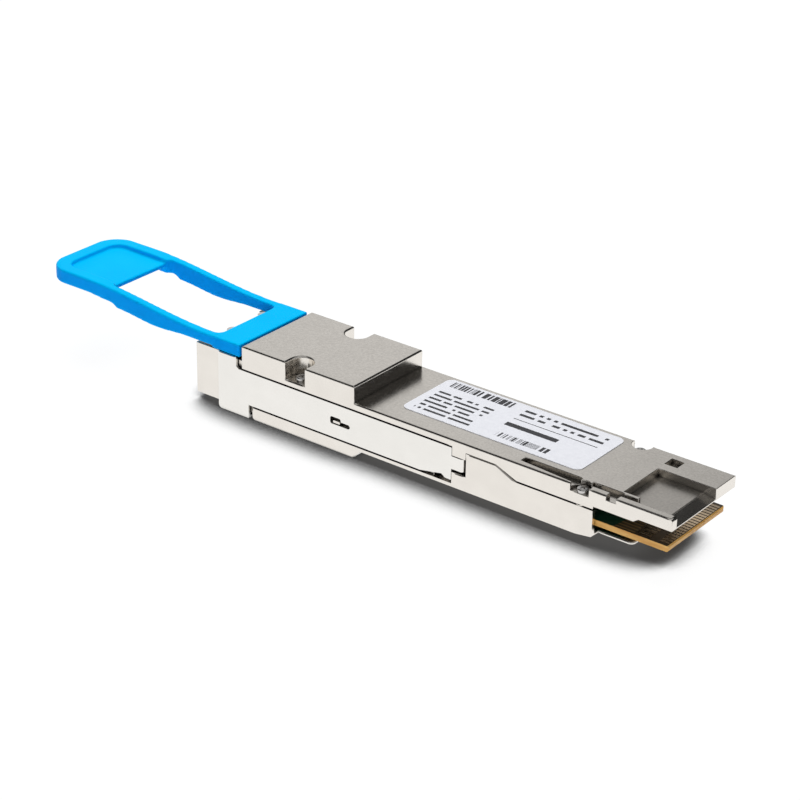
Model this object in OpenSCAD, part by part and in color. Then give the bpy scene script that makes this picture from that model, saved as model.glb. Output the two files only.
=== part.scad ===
// Pluggable optical transceiver module with an extended nose, a raised block, a sliding release with
// side arms and a pull tab, and the board and optics that it carries inside.
// Millimetres, +Z up. X runs along the module: pull tab at -X, edge contacts at +X.
// Z = 0 is the lowest face of the belly, Y = 0 the middle plane.

/* [Body] */
// Width of the body
body_w = 18.35; // [17.6:0.05:20]
// Height of the body that enters the cage
body_h = 8.5; // [8.2:0.05:9.6]
// Length from the rear end to the raised block
inserted_len = 60.5; // [57:0.5:72]
// Length of the raised block
block_len = 24; // [23:0.5:32]
// Height of the raised block above the body's top
block_rise = 3; // [2.2:0.1:5]
// Length of the nose in front of the raised block
nose_len = 10.75; // [10.5:0.25:14]
// Depth of the belly below the body
belly_depth = 1.55; // [1.3:0.05:2.5]
// Length of the belly
belly_len = 21.7; // [19:0.1:26]
// Slope length at the belly's rear end
belly_ramp = 1.6; // [0.5:0.1:3]
// Radius of the belly's front lower corner
belly_corner = 0.7; // [0.3:0.1:1.2]
// Gap from the raised block's front face back to the belly's front face
belly_set_back = 2.1; // [1.8:0.1:3]

/* [Castings] */
// Thickness of the lower housing's floor
floor_t = 1; // [0.7:0.05:1.1]
// Thickness of the upper housing's plate
lid_t = 1.2; // [1.1:0.05:1.5]
// Wall left behind each arm channel
front_wall = 0.9; // [0.6:0.05:1.1]
// Gap at the parting line between the two housings
seam = 0.08; // [0.04:0.01:0.15]
// Height of the wall's crest above the body's bottom
crest_h = 6.85; // [6.2:0.05:7]
// Length of the wall's crest behind the arm recess
crest_len = 5.7; // [4:0.1:8]
// Length of the slope that leads from the crest down to the rear parting line
slope_len = 4; // [2:0.1:6]
// Height of the rear parting line above the body's bottom
rear_split_h = 5.27; // [4.6:0.05:5.6]
// Distance from the rear end to the end of the lower housing's walls
wall_end = 14; // [12.5:0.1:14.6]
// Length over which the body's bottom rises at its rear
rear_lift_len = 3; // [1:0.1:6]
// Rise of the body's bottom at its rear
rear_lift = 0.4; // [0.1:0.05:0.6]
// Length of the tongue below the card
tongue_len = 6.4; // [3:0.1:9]
// Inset of the tongue from the body's sides
tongue_inset = 1.9; // [1.2:0.1:4]
// Height of the upper housing's rear skirt above the body's bottom
skirt_h = 5.82; // [5.6:0.05:6.3]
// Height of the upper housing's tail above the body's bottom
tail_h = 6.43; // [6.2:0.05:6.7]
// Length of the tail
tail_len = 5.9; // [3:0.1:6.5]
// Length of the slope between skirt and tail
tail_slope = 0.9; // [0.4:0.1:1.5]

/* [Top details] */
// Length of the pocket at the rear end
pocket_len = 10.4; // [6:0.1:11]
// Width of that pocket
pocket_w = 9.7; // [6:0.05:9.8]
// Offset of that pocket from the middle plane
pocket_y = -1.42; // [-1.5:0.01:0.5]
// Length of the pocket's wider stretch at its open end
pocket_wide_len = 7.45; // [3:0.05:8]
// Rail left between the wider stretch and the body's side
pocket_rail = 1.35; // [0.8:0.05:2]
// Depth of that pocket
pocket_d = 1.35; // [0.8:0.05:1.5]
// Length of the ramp at the pocket's open end
pocket_ramp = 2.3; // [1:0.1:4]
// Drop of that ramp
pocket_drop = 0.25; // [0.1:0.05:0.4]
// Bevel at the rear end of the rail beside the pocket
rail_bevel = 0.4; // [0.2:0.05:1]
// Side of the small square recess
key_hole = 2.2; // [1.4:0.1:2.6]
// Distance from the rear end to the middle of the square recess
key_hole_x = 9.35; // [7:0.05:10]
// Offset of the square recess from the middle plane
key_hole_y = 6.5; // [6:0.05:7]
// Depth of the square recess and of the edge grooves
shallow_d = 0.8; // [0.4:0.05:0.9]
// Length of the edge groove in front of the rear screw
groove_len = 10.7; // [6:0.1:14]
// Length of the edge groove behind the rear screw
short_groove_len = 5.6; // [3:0.1:6]
// Inner edge of the edge grooves, from the body's side
groove_inset = 2.55; // [2.2:0.05:3]
// Rail left outside the groove at its front end
groove_rail = 1.28; // [0.8:0.02:1.6]
// Rail left outside the groove at its rear end
groove_rail_rear = 0.45; // [0.3:0.05:0.8]
// Length of the label
label_len = 35.8; // [20:0.1:38]
// Width of the label
label_w = 13.6; // [8:0.1:14]
// Thickness of the label
label_t = 0.1; // [0.05:0.01:0.2]
// Radius of the label's corners
label_corner = 1.3; // [0.5:0.1:3]
// Distance from the rear end to the label
label_x = 19; // [18.8:0.1:21]
// Offset of the label from the middle plane
label_y = 1.9; // [0.5:0.1:2]

/* [Cover screws] */
// Radius of the screw's shank
screw_r = 0.5; // [0.4:0.02:0.56]
// Radius of the screw's head
screw_head_r = 1; // [0.8:0.02:1.05]
// Height of the screw's head
screw_head_h = 0.6; // [0.4:0.05:0.8]
// Length of the screw's shank
screw_len = 4; // [3:0.1:4.2]
// Radial room round the shank in its holes
screw_room = 0.04; // [0.02:0.01:0.1]
// Distance from the raised block's front face to the front screws
front_screw_x = 11.55; // [11.45:0.05:12.5]
// Distance from the body's side to the front screws
front_screw_inset = 1.8; // [1.6:0.05:2]
// Radius of the front screw pockets
front_pocket_r = 2.1; // [1.6:0.05:2.3]
// Depth of the front pockets' floor below the body's top
front_pocket_d = 0.2; // [0.05:0.05:0.4]
// Distance from the rear end to the rear screws
rear_screw_x = 16.6; // [16.2:0.05:17.2]
// Distance from the body's side to the rear screws
rear_screw_inset = 1.12; // [1.1:0.01:1.3]
// Radius of the rear screw pockets
rear_pocket_r = 1.75; // [1.5:0.05:2]
// Depth of the rear screw pockets
rear_pocket_d = 1.3; // [0.9:0.05:1.5]
// Radius of the posts that the screws go into
post_r = 1.1; // [0.9:0.02:1.1]

/* [Nose and ports] */
// Inset of the nose's sides from the body's sides
nose_inset = 0.6; // [0.58:0.01:0.9]
// Depth of the nose below the body's bottom
nose_drop = 0.5; // [0.2:0.05:0.8]
// Height of the nose's top above the body's bottom
nose_h = 8.95; // [8.7:0.05:9]
// Wall of the nose
nose_wall = 0.9; // [0.7:0.05:1]
// Length of the nose's front rim at its bottom
nose_rim = 3.1; // [2:0.1:3.2]
// Length of the bevel at the nose's upper front edge
nose_bevel = 1.05; // [0.5:0.05:1.2]
// Drop of that bevel
nose_bevel_d = 0.8; // [0.4:0.05:0.8]
// Set-back of the port insert behind the nose's front face
insert_set_back = 0.5; // [0.2:0.05:1.5]
// Width of each port
port_w = 6.5; // [6.3:0.05:6.6]
// Height of each port
port_h = 6.4; // [5.8:0.05:6.7]
// Thickness of the insert's rear wall
bulkhead_t = 1.4; // [1:0.05:1.8]
// Distance between the two ferrules of a port
ferrule_pitch = 3.8; // [3.7:0.02:3.95]
// Radius of the ferrule bore
ferrule_bore_r = 0.63; // [0.6:0.01:0.7]
// Depth of the ferrule bore
ferrule_bore_len = 4.8; // [3:0.1:5]
// Outer radius of the ferrule sleeve
sleeve_r = 1.25; // [1:0.01:1.28]
// Length of the sleeve that stands in the port
sleeve_reach = 3.6; // [2.5:0.1:4.2]
// Radius of the sleeve's flange
flange_r = 1.5; // [1.36:0.02:1.6]
// Thickness of the sleeve's flange
flange_t = 0.7; // [0.4:0.05:0.9]
// Thickness of the shielding gasket behind the port insert
gasket_t = 0.5; // [0.3:0.05:0.6]
// Thickness of the clamp that holds the sleeves
clamp_t = 0.6; // [0.4:0.05:0.8]
// Reach of the clamp's teeth below the ferrules' axis
clamp_drop = 1; // [0.4:0.1:2]

/* [Release] */
// Thickness of the slider's sheet
slider_t = 0.45; // [0.35:0.01:0.47]
// Room between the slider and the housings
slide_gap = 0.1; // [0.06:0.01:0.11]
// Travel of the slider when the tab is pulled
travel = 2; // [1:0.1:2.2]
// Height of the arm's lower edge above the body's bottom
arm_rise = 1; // [0.8:0.05:1.1]
// Height of the arm
arm_h = 6.15; // [6:0.05:6.2]
// Distance from the rear end to the arm's end
arm_end = 40.7; // [39.5:0.1:42]
// Length of the recess that shows behind the arm's end
recess_len = 2.8; // [2.4:0.1:4]
// Depth of that recess
recess_d = 1.35; // [1.3:0.05:1.5]
// Height of that recess's floor above the body's bottom
recess_floor = 2.75; // [2:0.05:3.2]
// Radius of the rolled tip
tip_r = 0.6; // [0.48:0.02:0.62]
// Height of the rolled tip
tip_h = 2.3; // [1.2:0.1:2.4]
// Height of the rolled tip above the recess's floor
tip_rise = 0.5; // [0.3:0.05:0.8]
// Length of the flat neck between the arm and its rolled tip
tip_neck = 1.75; // [1:0.05:1.8]
// Length of the bracket that wraps the nose
bracket_len = 4; // [3:0.1:4]
// Gap between the bracket's upper part and the raised block
bracket_gap = 1.3; // [1:0.1:2]
// Reach of the bracket's lower part past the raised block's front face
bracket_skirt = 1.4; // [0.5:0.1:1.5]
// Drop of the bracket below the body's bottom
bracket_drop = 1.48; // [1.2:0.02:1.5]
// Radius of the bracket's lower front corner
bracket_corner = 0.7; // [0.3:0.05:1]
// Distance from the raised block's front face to the stop slot
slot_x = 19.1; // [18.5:0.1:19.6]
// Height of the stop slot's lower edge above the body's bottom
slot_rise = 3.45; // [3:0.05:4]
// Height of the stop slot
slot_h = 0.7; // [0.6:0.02:0.9]
// Height of the wide end of the stop slot
slot_wide_h = 1.25; // [1:0.05:1.6]
// Depth of the housing's hollow behind the stop slot
slot_hollow_d = 0.45; // [0.2:0.05:0.5]
// Length of the stop peg
peg_len = 1.5; // [1:0.05:2]
// Height of the stop peg
peg_h = 0.5; // [0.3:0.02:0.56]
// Width of the tongues that anchor the tab
tongue_w = 2.2; // [1.6:0.1:3]
// Offset of those tongues from the middle plane
tongue_y = 4; // [3:0.1:5]
// Reach of those tongues past the tab's cross bar
tongue_reach = 1.1; // [0.4:0.05:1.5]

/* [Return springs] */
// Mean radius of the spring
spring_r = 0.62; // [0.5:0.01:0.64]
// Thickness of the spring's wire
wire_d = 0.24; // [0.18:0.01:0.28]
// Length of the spring at rest
spring_len = 10; // [8:0.1:10.5]
// Turns of the spring
spring_turns = 8; // [6:1:9]
// Distance from the raised block's front face to the spring's front end
spring_x = 5; // [4.6:0.1:5.4]
// Height of the spring's axis above the body's bottom
spring_h = 1; // [0.95:0.01:1.02]
// Length of the slider's tab that presses on the spring
spring_tab_len = 1.4; // [1:0.1:1.8]

/* [Pull tab] */
// Reach of the tab in front of the nose
tab_reach = 35.6; // [30:0.1:45]
// Inset of the tab's sides from the body's sides
tab_inset = 0.225; // [0.1:0.025:0.7]
// Length of the cross bar
bar_len = 5.1; // [4.9:0.1:7]
// Overhang of the cross bar behind the bracket
bar_over = 0.8; // [0.1:0.05:1]
// Height of the cross bar
bar_h = 2.3; // [2.2:0.05:2.6]
// Height of the bracket's top above the body's bottom
bracket_h = 9.05; // [9.02:0.01:9.2]
// Width of each side rail
rail_w = 1.65; // [1.2:0.05:2.2]
// Depth of the rails near the cross bar
rail_h = 1.95; // [1.6:0.05:2.2]
// Rise of the tab from the cross bar to the thumb pad
tab_rise = 2.25; // [1:0.05:4]
// Length of the thumb pad
pad_len = 14.75; // [12:0.05:19]
// Thickness of the thumb pad at its end
pad_t = 2.6; // [2.2:0.05:3]
// Radius of the tab's outer corners
tab_corner = 4.8; // [2:0.1:6]
// Width of the rim round the thumb recess, at the end
rim_end = 2.9; // [2:0.1:4]
// Width of the rim round the thumb recess, at the sides
rim_side = 2.5; // [1.8:0.1:3.5]
// Depth of the thumb recess at its end
thumb_d = 0.65; // [0.3:0.05:0.8]
// Thickness of the web below the thumb recess
web_t = 0.85; // [0.6:0.05:1.2]
// Radius of the window's corners
window_corner = 1.3; // [0.4:0.1:1.6]

/* [Board] */
// Inset of the card's sides from the body's sides
card_inset = 0.965; // [0.92:0.005:1.15]
// Thickness of the card
card_t = 1; // [0.8:0.05:1.1]
// Height of the card's lower face above the body's bottom
card_h = 2.2; // [2.15:0.01:2.3]
// Distance from the upper housing's rear end to the card's end
card_back = 0.95; // [0.8:0.05:2]
// Room between the card's edges and the walls
card_room = 0.1; // [0.05:0.01:0.15]
// Bevel at the card's leading edge
card_bevel = 0.2; // [0.1:0.02:0.35]
// Radius of the card's rear corners
card_corner = 0.45; // [0.1:0.05:0.8]
// Distance between neighbouring contacts
contact_pitch = 0.8; // [0.75:0.01:0.85]
// Width of a contact
contact_w = 0.54; // [0.4:0.02:0.6]
// Contacts in a row
contact_count = 19; // [11:2:19]
// Length of the contacts in the front row
contact_len = 1.7; // [1.2:0.1:2]
// Length of the contacts in the second row
second_contact_len = 2.3; // [1.6:0.1:2.6]
// Gap between the two rows of contacts
contact_row_gap = 1.6; // [1:0.1:2]
// Thickness of the contacts
contact_t = 0.04; // [0.03:0.01:0.08]

/* [Optics and chips] */
// Length of each optical sub-assembly
optics_len = 6.2; // [5.6:0.1:6.3]
// Gap between neighbouring optical sub-assemblies
optics_gap = 0.6; // [0.4:0.05:1]
// Height of each optical sub-assembly
optics_h = 4.6; // [4.2:0.05:4.8]
// Thickness of the thermal pad on the optics
optics_pad_t = 1; // [0.6:0.05:1]
// Inset of a flexible circuit's sides from its box
flex_inset = 0.3; // [0.1:0.05:0.6]
// Thickness of the flexible circuits
flex_t = 0.15; // [0.1:0.01:0.2]
// Straight stretch of a flexible circuit behind its box
flex_out = 0.5; // [0.3:0.1:0.6]
// Length of its slope down to the board
flex_slope = 0.9; // [0.6:0.1:1]
// Length of its landing on the board
flex_land = 1; // [0.6:0.1:1.1]
// Height of its upper end above the board
flex_rise = 1.2; // [0.8:0.1:2]
// Side of the signal processor
processor_w = 11; // [8:0.5:12]
// Distance from the raised block's rear face to the signal processor's middle
processor_back = 9; // [8.5:0.1:9.5]
// Height of the signal processor
processor_h = 1.2; // [0.9:0.05:1.6]
// Thickness of the thermal pad on the processor
processor_pad_t = 0.8; // [0.4:0.05:1]
// Side of the controller chip
controller_w = 6; // [4:0.5:7]
// Height of the controller chip
controller_h = 0.9; // [0.6:0.05:1.2]
// Side of a power inductor
inductor_w = 3; // [2:0.1:3.4]
// Height of a power inductor
inductor_h = 1.6; // [1:0.1:2]
// Distance between neighbouring capacitors
capacitor_pitch = 1.7; // [1.3:0.1:2]
// Length of a capacitor
capacitor_len = 1; // [0.6:0.1:1.2]
// Width and height of a capacitor
capacitor_w = 0.5; // [0.3:0.05:0.8]

/* [Hidden] */
$fn = 48;
total_len = tab_reach + nose_len + block_len + inserted_len;
rear_x = total_len / 2;
stop_x = rear_x - inserted_len;
block_x = stop_x - block_len;
nose_x = block_x - nose_len;
tab_x = -total_len / 2;
half_w = body_w / 2;
base_z = belly_depth;
top_z = base_z + body_h;
block_z = top_z + block_rise;
far = total_len + 10;

// Arm channel and parting line
channel_d = slider_t + slide_gap;
arm_z = base_z + arm_rise;
arm_top_z = arm_z + arm_h;
front_split_z = arm_top_z + slide_gap;
crest_z = base_z + crest_h;
rear_split_z = base_z + rear_split_h;
arm_end_x = rear_x - arm_end;
channel_end_x = arm_end_x + slide_gap;
recess_end_x = arm_end_x + recess_len;
recess_x = arm_end_x - travel - 2 * tip_r;
crest_end_x = recess_end_x + crest_len;
slope_end_x = crest_end_x + slope_len;
wall_end_x = rear_x - wall_end;
zone_x = recess_end_x + 1.4;
recess_wall = 0.7;
tip_hollow_h = 0.9;
tip_roof_z = base_z + recess_floor + tip_rise + tip_h + slide_gap;
belly_x = block_x + belly_set_back;

// Inside of the housings
front_half = half_w - channel_d - front_wall;
card_half = half_w - card_inset;
rear_half = card_half + card_room;
floor_z = base_z + floor_t;
lid_inner_z = top_z - lid_t;
front_screw_z = top_z - front_pocket_d;
rear_screw_z = top_z - rear_pocket_d;
front_post_x = block_x + front_screw_x;
front_post_y = half_w - front_screw_inset;
front_post_r = post_r + 0.25;
rear_post_x = rear_x - rear_screw_x;
rear_post_y = half_w - rear_screw_inset;

// Nose and ports
nose_half = half_w - nose_inset;
nose_z = base_z - nose_drop;
nose_top_z = base_z + nose_h;
nose_inner_half = nose_half - nose_wall;
bracket_top_z = base_z + bracket_h;
strip_z = bracket_top_z - slider_t;
nose_saddle_z = strip_z - slide_gap;
port_floor_z = nose_z + nose_wall;
port_roof_z = nose_saddle_z - nose_wall + 0.25;
axis_z = (port_floor_z + port_roof_z) / 2;
fit = 0.05;
port_y = nose_inner_half - fit - flange_r - ferrule_pitch / 2;
insert_x = nose_x + insert_set_back;
flange_x = block_x - flange_t;
gasket_x = flange_x - gasket_t;
bulkhead_x = gasket_x - bulkhead_t;
sleeve_x = bulkhead_x - sleeve_reach;
ferrule_y = [for (side = [-1, 1], leg = [-1, 1]) side * port_y + leg * ferrule_pitch / 2];

// Slider
bracket_end_x = block_x - bracket_gap;
bracket_x = bracket_end_x - bracket_len;
skirt_end_x = block_x + bracket_skirt;
strip_x = bracket_x + travel + 2 * slide_gap;
saddle_x = bracket_x + slide_gap;
bracket_z = base_z - bracket_drop;
slot_start_x = block_x + slot_x;
peg_x = slot_start_x + 0.5;
slot_end_x = peg_x + peg_len + travel + slide_gap;
spring_start_x = block_x + spring_x;
spring_tab_x = spring_start_x + spring_len;
spring_end_x = spring_tab_x + spring_tab_len + 0.4;
spring_z = base_z + spring_h;
spring_room_r = spring_r + wire_d / 2 + 0.06;
spring_y = half_w - channel_d - spring_room_r;
ledge_half = spring_y - spring_room_r - 0.45;

// Pull tab
bar_x = bracket_end_x - bar_len;
bar_end_x = bracket_end_x + bar_over;
tab_top_z = bracket_top_z + bar_h;
pad_top_z = tab_top_z + tab_rise;
pad_x = tab_x + pad_len;
tab_half = half_w - tab_inset;
tongue_z = bracket_top_z + (bar_h - slider_t) * 0.76;

// Board and optics
card_z = base_z + card_h;
card_top_z = card_z + card_t;
card_end_x = rear_x - card_back;
optics_w = min(ferrule_pitch, 2 * port_y - ferrule_pitch) - optics_gap;
flex_w = optics_w - 2 * flex_inset;
optics_x = block_x + 1.45;
optics_end_x = optics_x + optics_len;
optics_z = card_z + 0.1;
optics_top_z = optics_z + optics_h;
card_front_x = optics_end_x + 0.7;
processor_x = stop_x + processor_back;
processor_pad_z = card_top_z + processor_h;
pedestal_z = processor_pad_z + processor_pad_t;

nickel = [0.74, 0.72, 0.69];
steel = [0.86, 0.85, 0.83];
blue = [0.05, 0.6, 0.95];

// A block across the middle plane, from x0 to x1 and z0 to z1
module slab(x0, x1, half, z0, z1) {
    translate([x0, -half, z0])
        cube([x1 - x0, 2 * half, z1 - z0]);
}

// A side outline in X and Z, carried across the body
module across(half) {
    rotate([90, 0, 0])
        linear_extrude(height = 2 * half, center = true)
            children();
}

module both_sides() {
    children();
    mirror([0, 1, 0])
        children();
}

// A rectangle with four round corners
module round_rect(x0, x1, y0, y1, r) {
    translate([x0 + r, y0])
        square([x1 - x0 - 2 * r, y1 - y0]);
    translate([x0, y0 + r])
        square([x1 - x0, y1 - y0 - 2 * r]);
    for (x = [x0 + r, x1 - r], y = [y0 + r, y1 - r])
        translate([x, y])
            circle(r);
}

module at_ferrules() {
    for (y = ferrule_y)
        translate([0, y, axis_z])
            rotate([0, 90, 0])
                children();
}

module at_posts() {
    both_sides() {
        translate([front_post_x, front_post_y, 0])
            children(0);
        translate([rear_post_x, rear_post_y, 0])
            children(1);
    }
}

// Lower housing: die-cast tray with the nose, belly, arm channels, spring pockets and rear tongue
module lower_outline() {
    polygon([
        [belly_x, base_z],
        [wall_end_x - rear_lift_len, base_z],
        [wall_end_x, base_z + rear_lift],
        [wall_end_x, rear_split_z],
        [slope_end_x, rear_split_z],
        [crest_end_x, crest_z],
        [arm_end_x, crest_z],
        [arm_end_x, front_split_z],
        [belly_x, front_split_z]
    ]);
}

module belly_outline() {
    end_x = belly_x + belly_len;
    polygon([
        [belly_x + belly_corner, 0],
        [end_x, 0],
        [end_x + belly_ramp, base_z],
        [belly_x, base_z],
        [belly_x, belly_corner]
    ]);
    translate([belly_x + belly_corner, belly_corner])
        circle(belly_corner);
}

// Wedge that bevels the nose's upper front edge between its side walls
module nose_bevel_outline() {
    polygon([
        [nose_x - nose_bevel, nose_top_z - 2 * nose_bevel_d],
        [nose_x + nose_bevel, nose_top_z],
        [nose_x + nose_bevel, nose_top_z + 1],
        [nose_x - nose_bevel, nose_top_z + 1]
    ]);
}

module lower_inside() {
    slab(block_x, zone_x, front_half, floor_z, far);
    slab(zone_x - 0.1, wall_end_x + 1, rear_half, floor_z, far);
    slab(nose_x - 1, block_x + 0.1, nose_inner_half, port_floor_z, port_roof_z);
}

module lower_mounts() {
    slab(belly_x, spring_end_x + 0.8, front_half + 0.1, floor_z - 0.1, optics_z - 1.1);
    slab(optics_x + 1.5, optics_x + 3, front_half + 0.1, floor_z - 0.1, optics_z);
    both_sides() {
        translate([spring_start_x - 0.8, ledge_half, base_z])
            cube([spring_end_x - spring_start_x + 1.6, half_w - ledge_half, card_h]);
        translate([recess_x - 1, half_w - recess_d - recess_wall, base_z])
            cube([zone_x - recess_x + 1, recess_d + recess_wall, crest_h]);
        translate([processor_x, rear_half - 4, base_z])
            cylinder(r = 0.9, h = card_h);
    }
    at_posts() {
        translate([0, 0, base_z])
            cylinder(r = front_post_r, h = front_split_z + seam - base_z);
        translate([0, 0, base_z + rear_lift])
            cylinder(r = post_r, h = rear_split_z + seam - base_z - rear_lift);
    }
}

module lower_housing() {
    color(nickel)
    difference() {
        union() {
            difference() {
                union() {
                    across(half_w)
                        lower_outline();
                    slab(nose_x, block_x - seam, nose_half, nose_z, nose_top_z);
                    slab(nose_x, belly_x + 0.1, nose_half, nose_z, front_split_z);
                    slab(nose_x + nose_rim, belly_x + 0.1, nose_half - 2, nose_z - 0.4, nose_z + 0.1);
                }
                lower_inside();
            }
            across(half_w)
                belly_outline();
            lower_mounts();
            translate([0, 0, base_z + rear_lift])
                linear_extrude(height = floor_t - rear_lift)
                    round_rect(wall_end_x - 3, wall_end_x + tongue_len,
                        tongue_inset - half_w, half_w - tongue_inset, 1);
        }
        slab(saddle_x, block_x + 0.1, half_w, nose_saddle_z, far);
        across(nose_inner_half)
            nose_bevel_outline();
        both_sides() {
            translate([nose_x, half_w - channel_d, arm_z - slide_gap])
                cube([channel_end_x - nose_x, 5, far]);
            translate([recess_x, half_w - recess_d, base_z + recess_floor])
                cube([recess_end_x - recess_x, 5, far]);
            translate([recess_x - 0.5, half_w - recess_d, arm_z - slide_gap])
                cube([channel_end_x - recess_x + 0.5, 5, tip_hollow_h]);
            translate([0, half_w - channel_d - slot_hollow_d, 0])
                rotate([90, 0, 0])
                    translate([0, 0, -5])
                        linear_extrude(height = 5)
                            round_rect(slot_start_x - slide_gap, slot_end_x + slide_gap,
                                base_z + slot_rise - slide_gap,
                                base_z + slot_rise + slot_wide_h + slide_gap, slot_h / 2);
            translate([spring_start_x, spring_y - spring_room_r, spring_z - spring_room_r])
                cube([spring_end_x - spring_start_x, channel_d + spring_room_r * 2 - slider_t,
                    spring_room_r * 2]);
        }
        at_posts() {
            translate([0, 0, front_screw_z - screw_len - 0.3])
                cylinder(r = screw_r + screw_room, h = far);
            translate([0, 0, rear_screw_z - screw_len - 0.3])
                cylinder(r = screw_r + screw_room, h = far);
        }
    }
    color(nickel)
    both_sides()
        translate([0, half_w - channel_d, 0])
            rotate([90, 0, 0])
                translate([0, 0, -slider_t])
                    linear_extrude(height = slider_t + slot_hollow_d + 0.1)
                        round_rect(peg_x, peg_x + peg_len, base_z + slot_rise + 0.1,
                            base_z + slot_rise + 0.1 + peg_h, peg_h / 2 - 0.01);
}

// Upper housing: die-cast lid with the raised block, the rear pocket, the screw pockets and
// a flap on each side that roofs the recess of the arm's tip
module upper_outline() {
    polygon([
        [block_x, front_split_z + seam],
        [block_x, block_z],
        [stop_x, block_z],
        [stop_x, top_z],
        [rear_x, top_z],
        [rear_x, base_z + tail_h],
        [rear_x - tail_len, base_z + tail_h],
        [rear_x - tail_len - tail_slope, base_z + skirt_h],
        [wall_end_x, base_z + skirt_h],
        [wall_end_x, rear_split_z + seam],
        [slope_end_x, rear_split_z + seam],
        [crest_end_x, crest_z + seam],
        [recess_end_x - seam, crest_z + seam],
        [recess_end_x - seam, tip_roof_z],
        [channel_end_x, tip_roof_z],
        [channel_end_x, front_split_z + seam]
    ]);
}

module rear_pocket_outline() {
    floor_at = top_z - pocket_d;
    polygon([
        [rear_x - pocket_len, floor_at],
        [rear_x - pocket_ramp, floor_at],
        [rear_x + 0.1, floor_at - pocket_drop],
        [rear_x + 0.1, top_z + 1],
        [rear_x - pocket_len, top_z + 1]
    ]);
}

// Wedge that bevels the end of the narrow rail beside the pocket
module rail_end_outline() {
    polygon([
        [rear_x - rail_bevel, top_z],
        [rear_x + 0.1, top_z - rail_bevel - 0.1],
        [rear_x + 0.1, top_z + 1],
        [rear_x - rail_bevel, top_z + 1]
    ]);
}

module pocket_widening() {
    translate([rear_x - pocket_wide_len, pocket_rail - half_w])
        square([pocket_wide_len + 1, half_w - pocket_rail + pocket_y]);
}

module edge_grooves() {
    start_x = rear_post_x - 1 - groove_len;
    inner_y = groove_inset - half_w;
    polygon([
        [start_x, groove_rail - half_w],
        [rear_post_x - 1, groove_rail_rear - half_w],
        [rear_post_x - 1, inner_y],
        [start_x, inner_y]
    ]);
    end_x = rear_post_x + 1 + short_groove_len;
    polygon([
        [rear_post_x + 1, groove_rail - half_w],
        [end_x - 1.8, groove_rail - half_w],
        [end_x - 1.8, -half_w - 1],
        [end_x, -half_w - 1],
        [end_x, inner_y],
        [rear_post_x + 1, inner_y]
    ]);
    translate([end_x - 0.1, pocket_rail - half_w])
        square([rear_x - pocket_wide_len - end_x + 0.2, groove_inset - pocket_rail - 0.3]);
}

module upper_inside() {
    slab(block_x + 1.2, optics_end_x + 0.4, front_half, front_split_z - 1, optics_top_z + optics_pad_t);
    slab(front_post_x + front_pocket_r + 1.2, stop_x - 1.5, front_half, front_split_z - 1,
        block_z - lid_t);
    slab(stop_x - 2, wall_end_x + 1.5, rear_half, base_z, lid_inner_z);
}

module screw_pocket(r, floor_at) {
    translate([0, 0, floor_at])
        cylinder(r = r, h = far);
    translate([-r, 0, floor_at])
        cube([2 * r, 5, far]);
}

module upper_housing() {
    color(nickel)
    difference() {
        union() {
            difference() {
                across(half_w)
                    upper_outline();
                upper_inside();
            }
            slab(processor_x - processor_w / 2, processor_x + processor_w / 2, processor_w / 2,
                pedestal_z, lid_inner_z + 0.1);
            both_sides() {
                translate([rear_post_x, rear_post_y, rear_split_z + seam])
                    cylinder(r = post_r, h = top_z - rear_split_z - seam - 0.1);
                translate([rear_post_x - rear_pocket_r - 0.5, half_w - rear_pocket_r - 1.2,
                        rear_screw_z - 0.7])
                    cube([2 * rear_pocket_r + 1, rear_pocket_r + 1.2, 1.3]);
            }
        }
        at_posts() {
            screw_pocket(front_pocket_r, front_screw_z);
            translate([0, rear_screw_inset - 0.5, rear_screw_z])
                cylinder(r = rear_pocket_r, h = far);
        }
        at_posts() {
            cylinder(r = screw_r + 3 * screw_room, h = far);
            cylinder(r = screw_r + 3 * screw_room, h = far);
        }
        translate([0, pocket_y, 0])
            across(pocket_w / 2)
                rear_pocket_outline();
        intersection() {
            across(half_w)
                rear_pocket_outline();
            linear_extrude(height = far)
                pocket_widening();
        }
        translate([0, -half_w, 0])
            across(pocket_rail + fit)
                rail_end_outline();
        translate([rear_x - key_hole_x - key_hole / 2, key_hole_y - key_hole / 2, top_z - shallow_d])
            cube([key_hole, key_hole, far]);
        translate([0, 0, top_z - shallow_d])
            linear_extrude(height = far)
                edge_grooves();
    }
}

// Release slider: one stamped sheet that wraps the nose and runs back along both sides
module arm_outline() {
    difference() {
        union() {
            translate([bracket_x, bracket_z + bracket_corner])
                square([bracket_len, bracket_top_z - bracket_z - bracket_corner]);
            translate([bracket_x + bracket_corner, bracket_z])
                square([skirt_end_x - bracket_x - bracket_corner, arm_top_z - bracket_z]);
            translate([bracket_x + bracket_corner, bracket_z + bracket_corner])
                circle(bracket_corner);
            polygon([
                [bracket_end_x - 0.1, arm_z],
                [arm_end_x - 6.1, arm_z],
                [arm_end_x - 1.9, arm_z + 0.8],
                [arm_end_x - 1.2, arm_z + 0.3],
                [arm_end_x, arm_z + 0.25],
                [arm_end_x, arm_top_z],
                [bracket_end_x - 0.1, arm_top_z]
            ]);
            difference() {
                translate([bracket_end_x - 0.1, arm_top_z - 0.1])
                    square([0.7, 0.7]);
                translate([bracket_end_x + 0.6, arm_top_z + 0.6])
                    circle(0.6);
            }
        }
        stop_slot();
    }
}

// Stop slot with a wide end for fitting and a narrow stretch that runs along the peg
module stop_slot() {
    low = base_z + slot_rise;
    wide_end_x = peg_x + peg_len + 0.2;
    round_rect(slot_start_x, wide_end_x, low, low + slot_wide_h, slot_h / 2);
    round_rect(slot_start_x, slot_end_x, low, low + slot_h, slot_h / 2 - 0.01);
}

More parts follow.
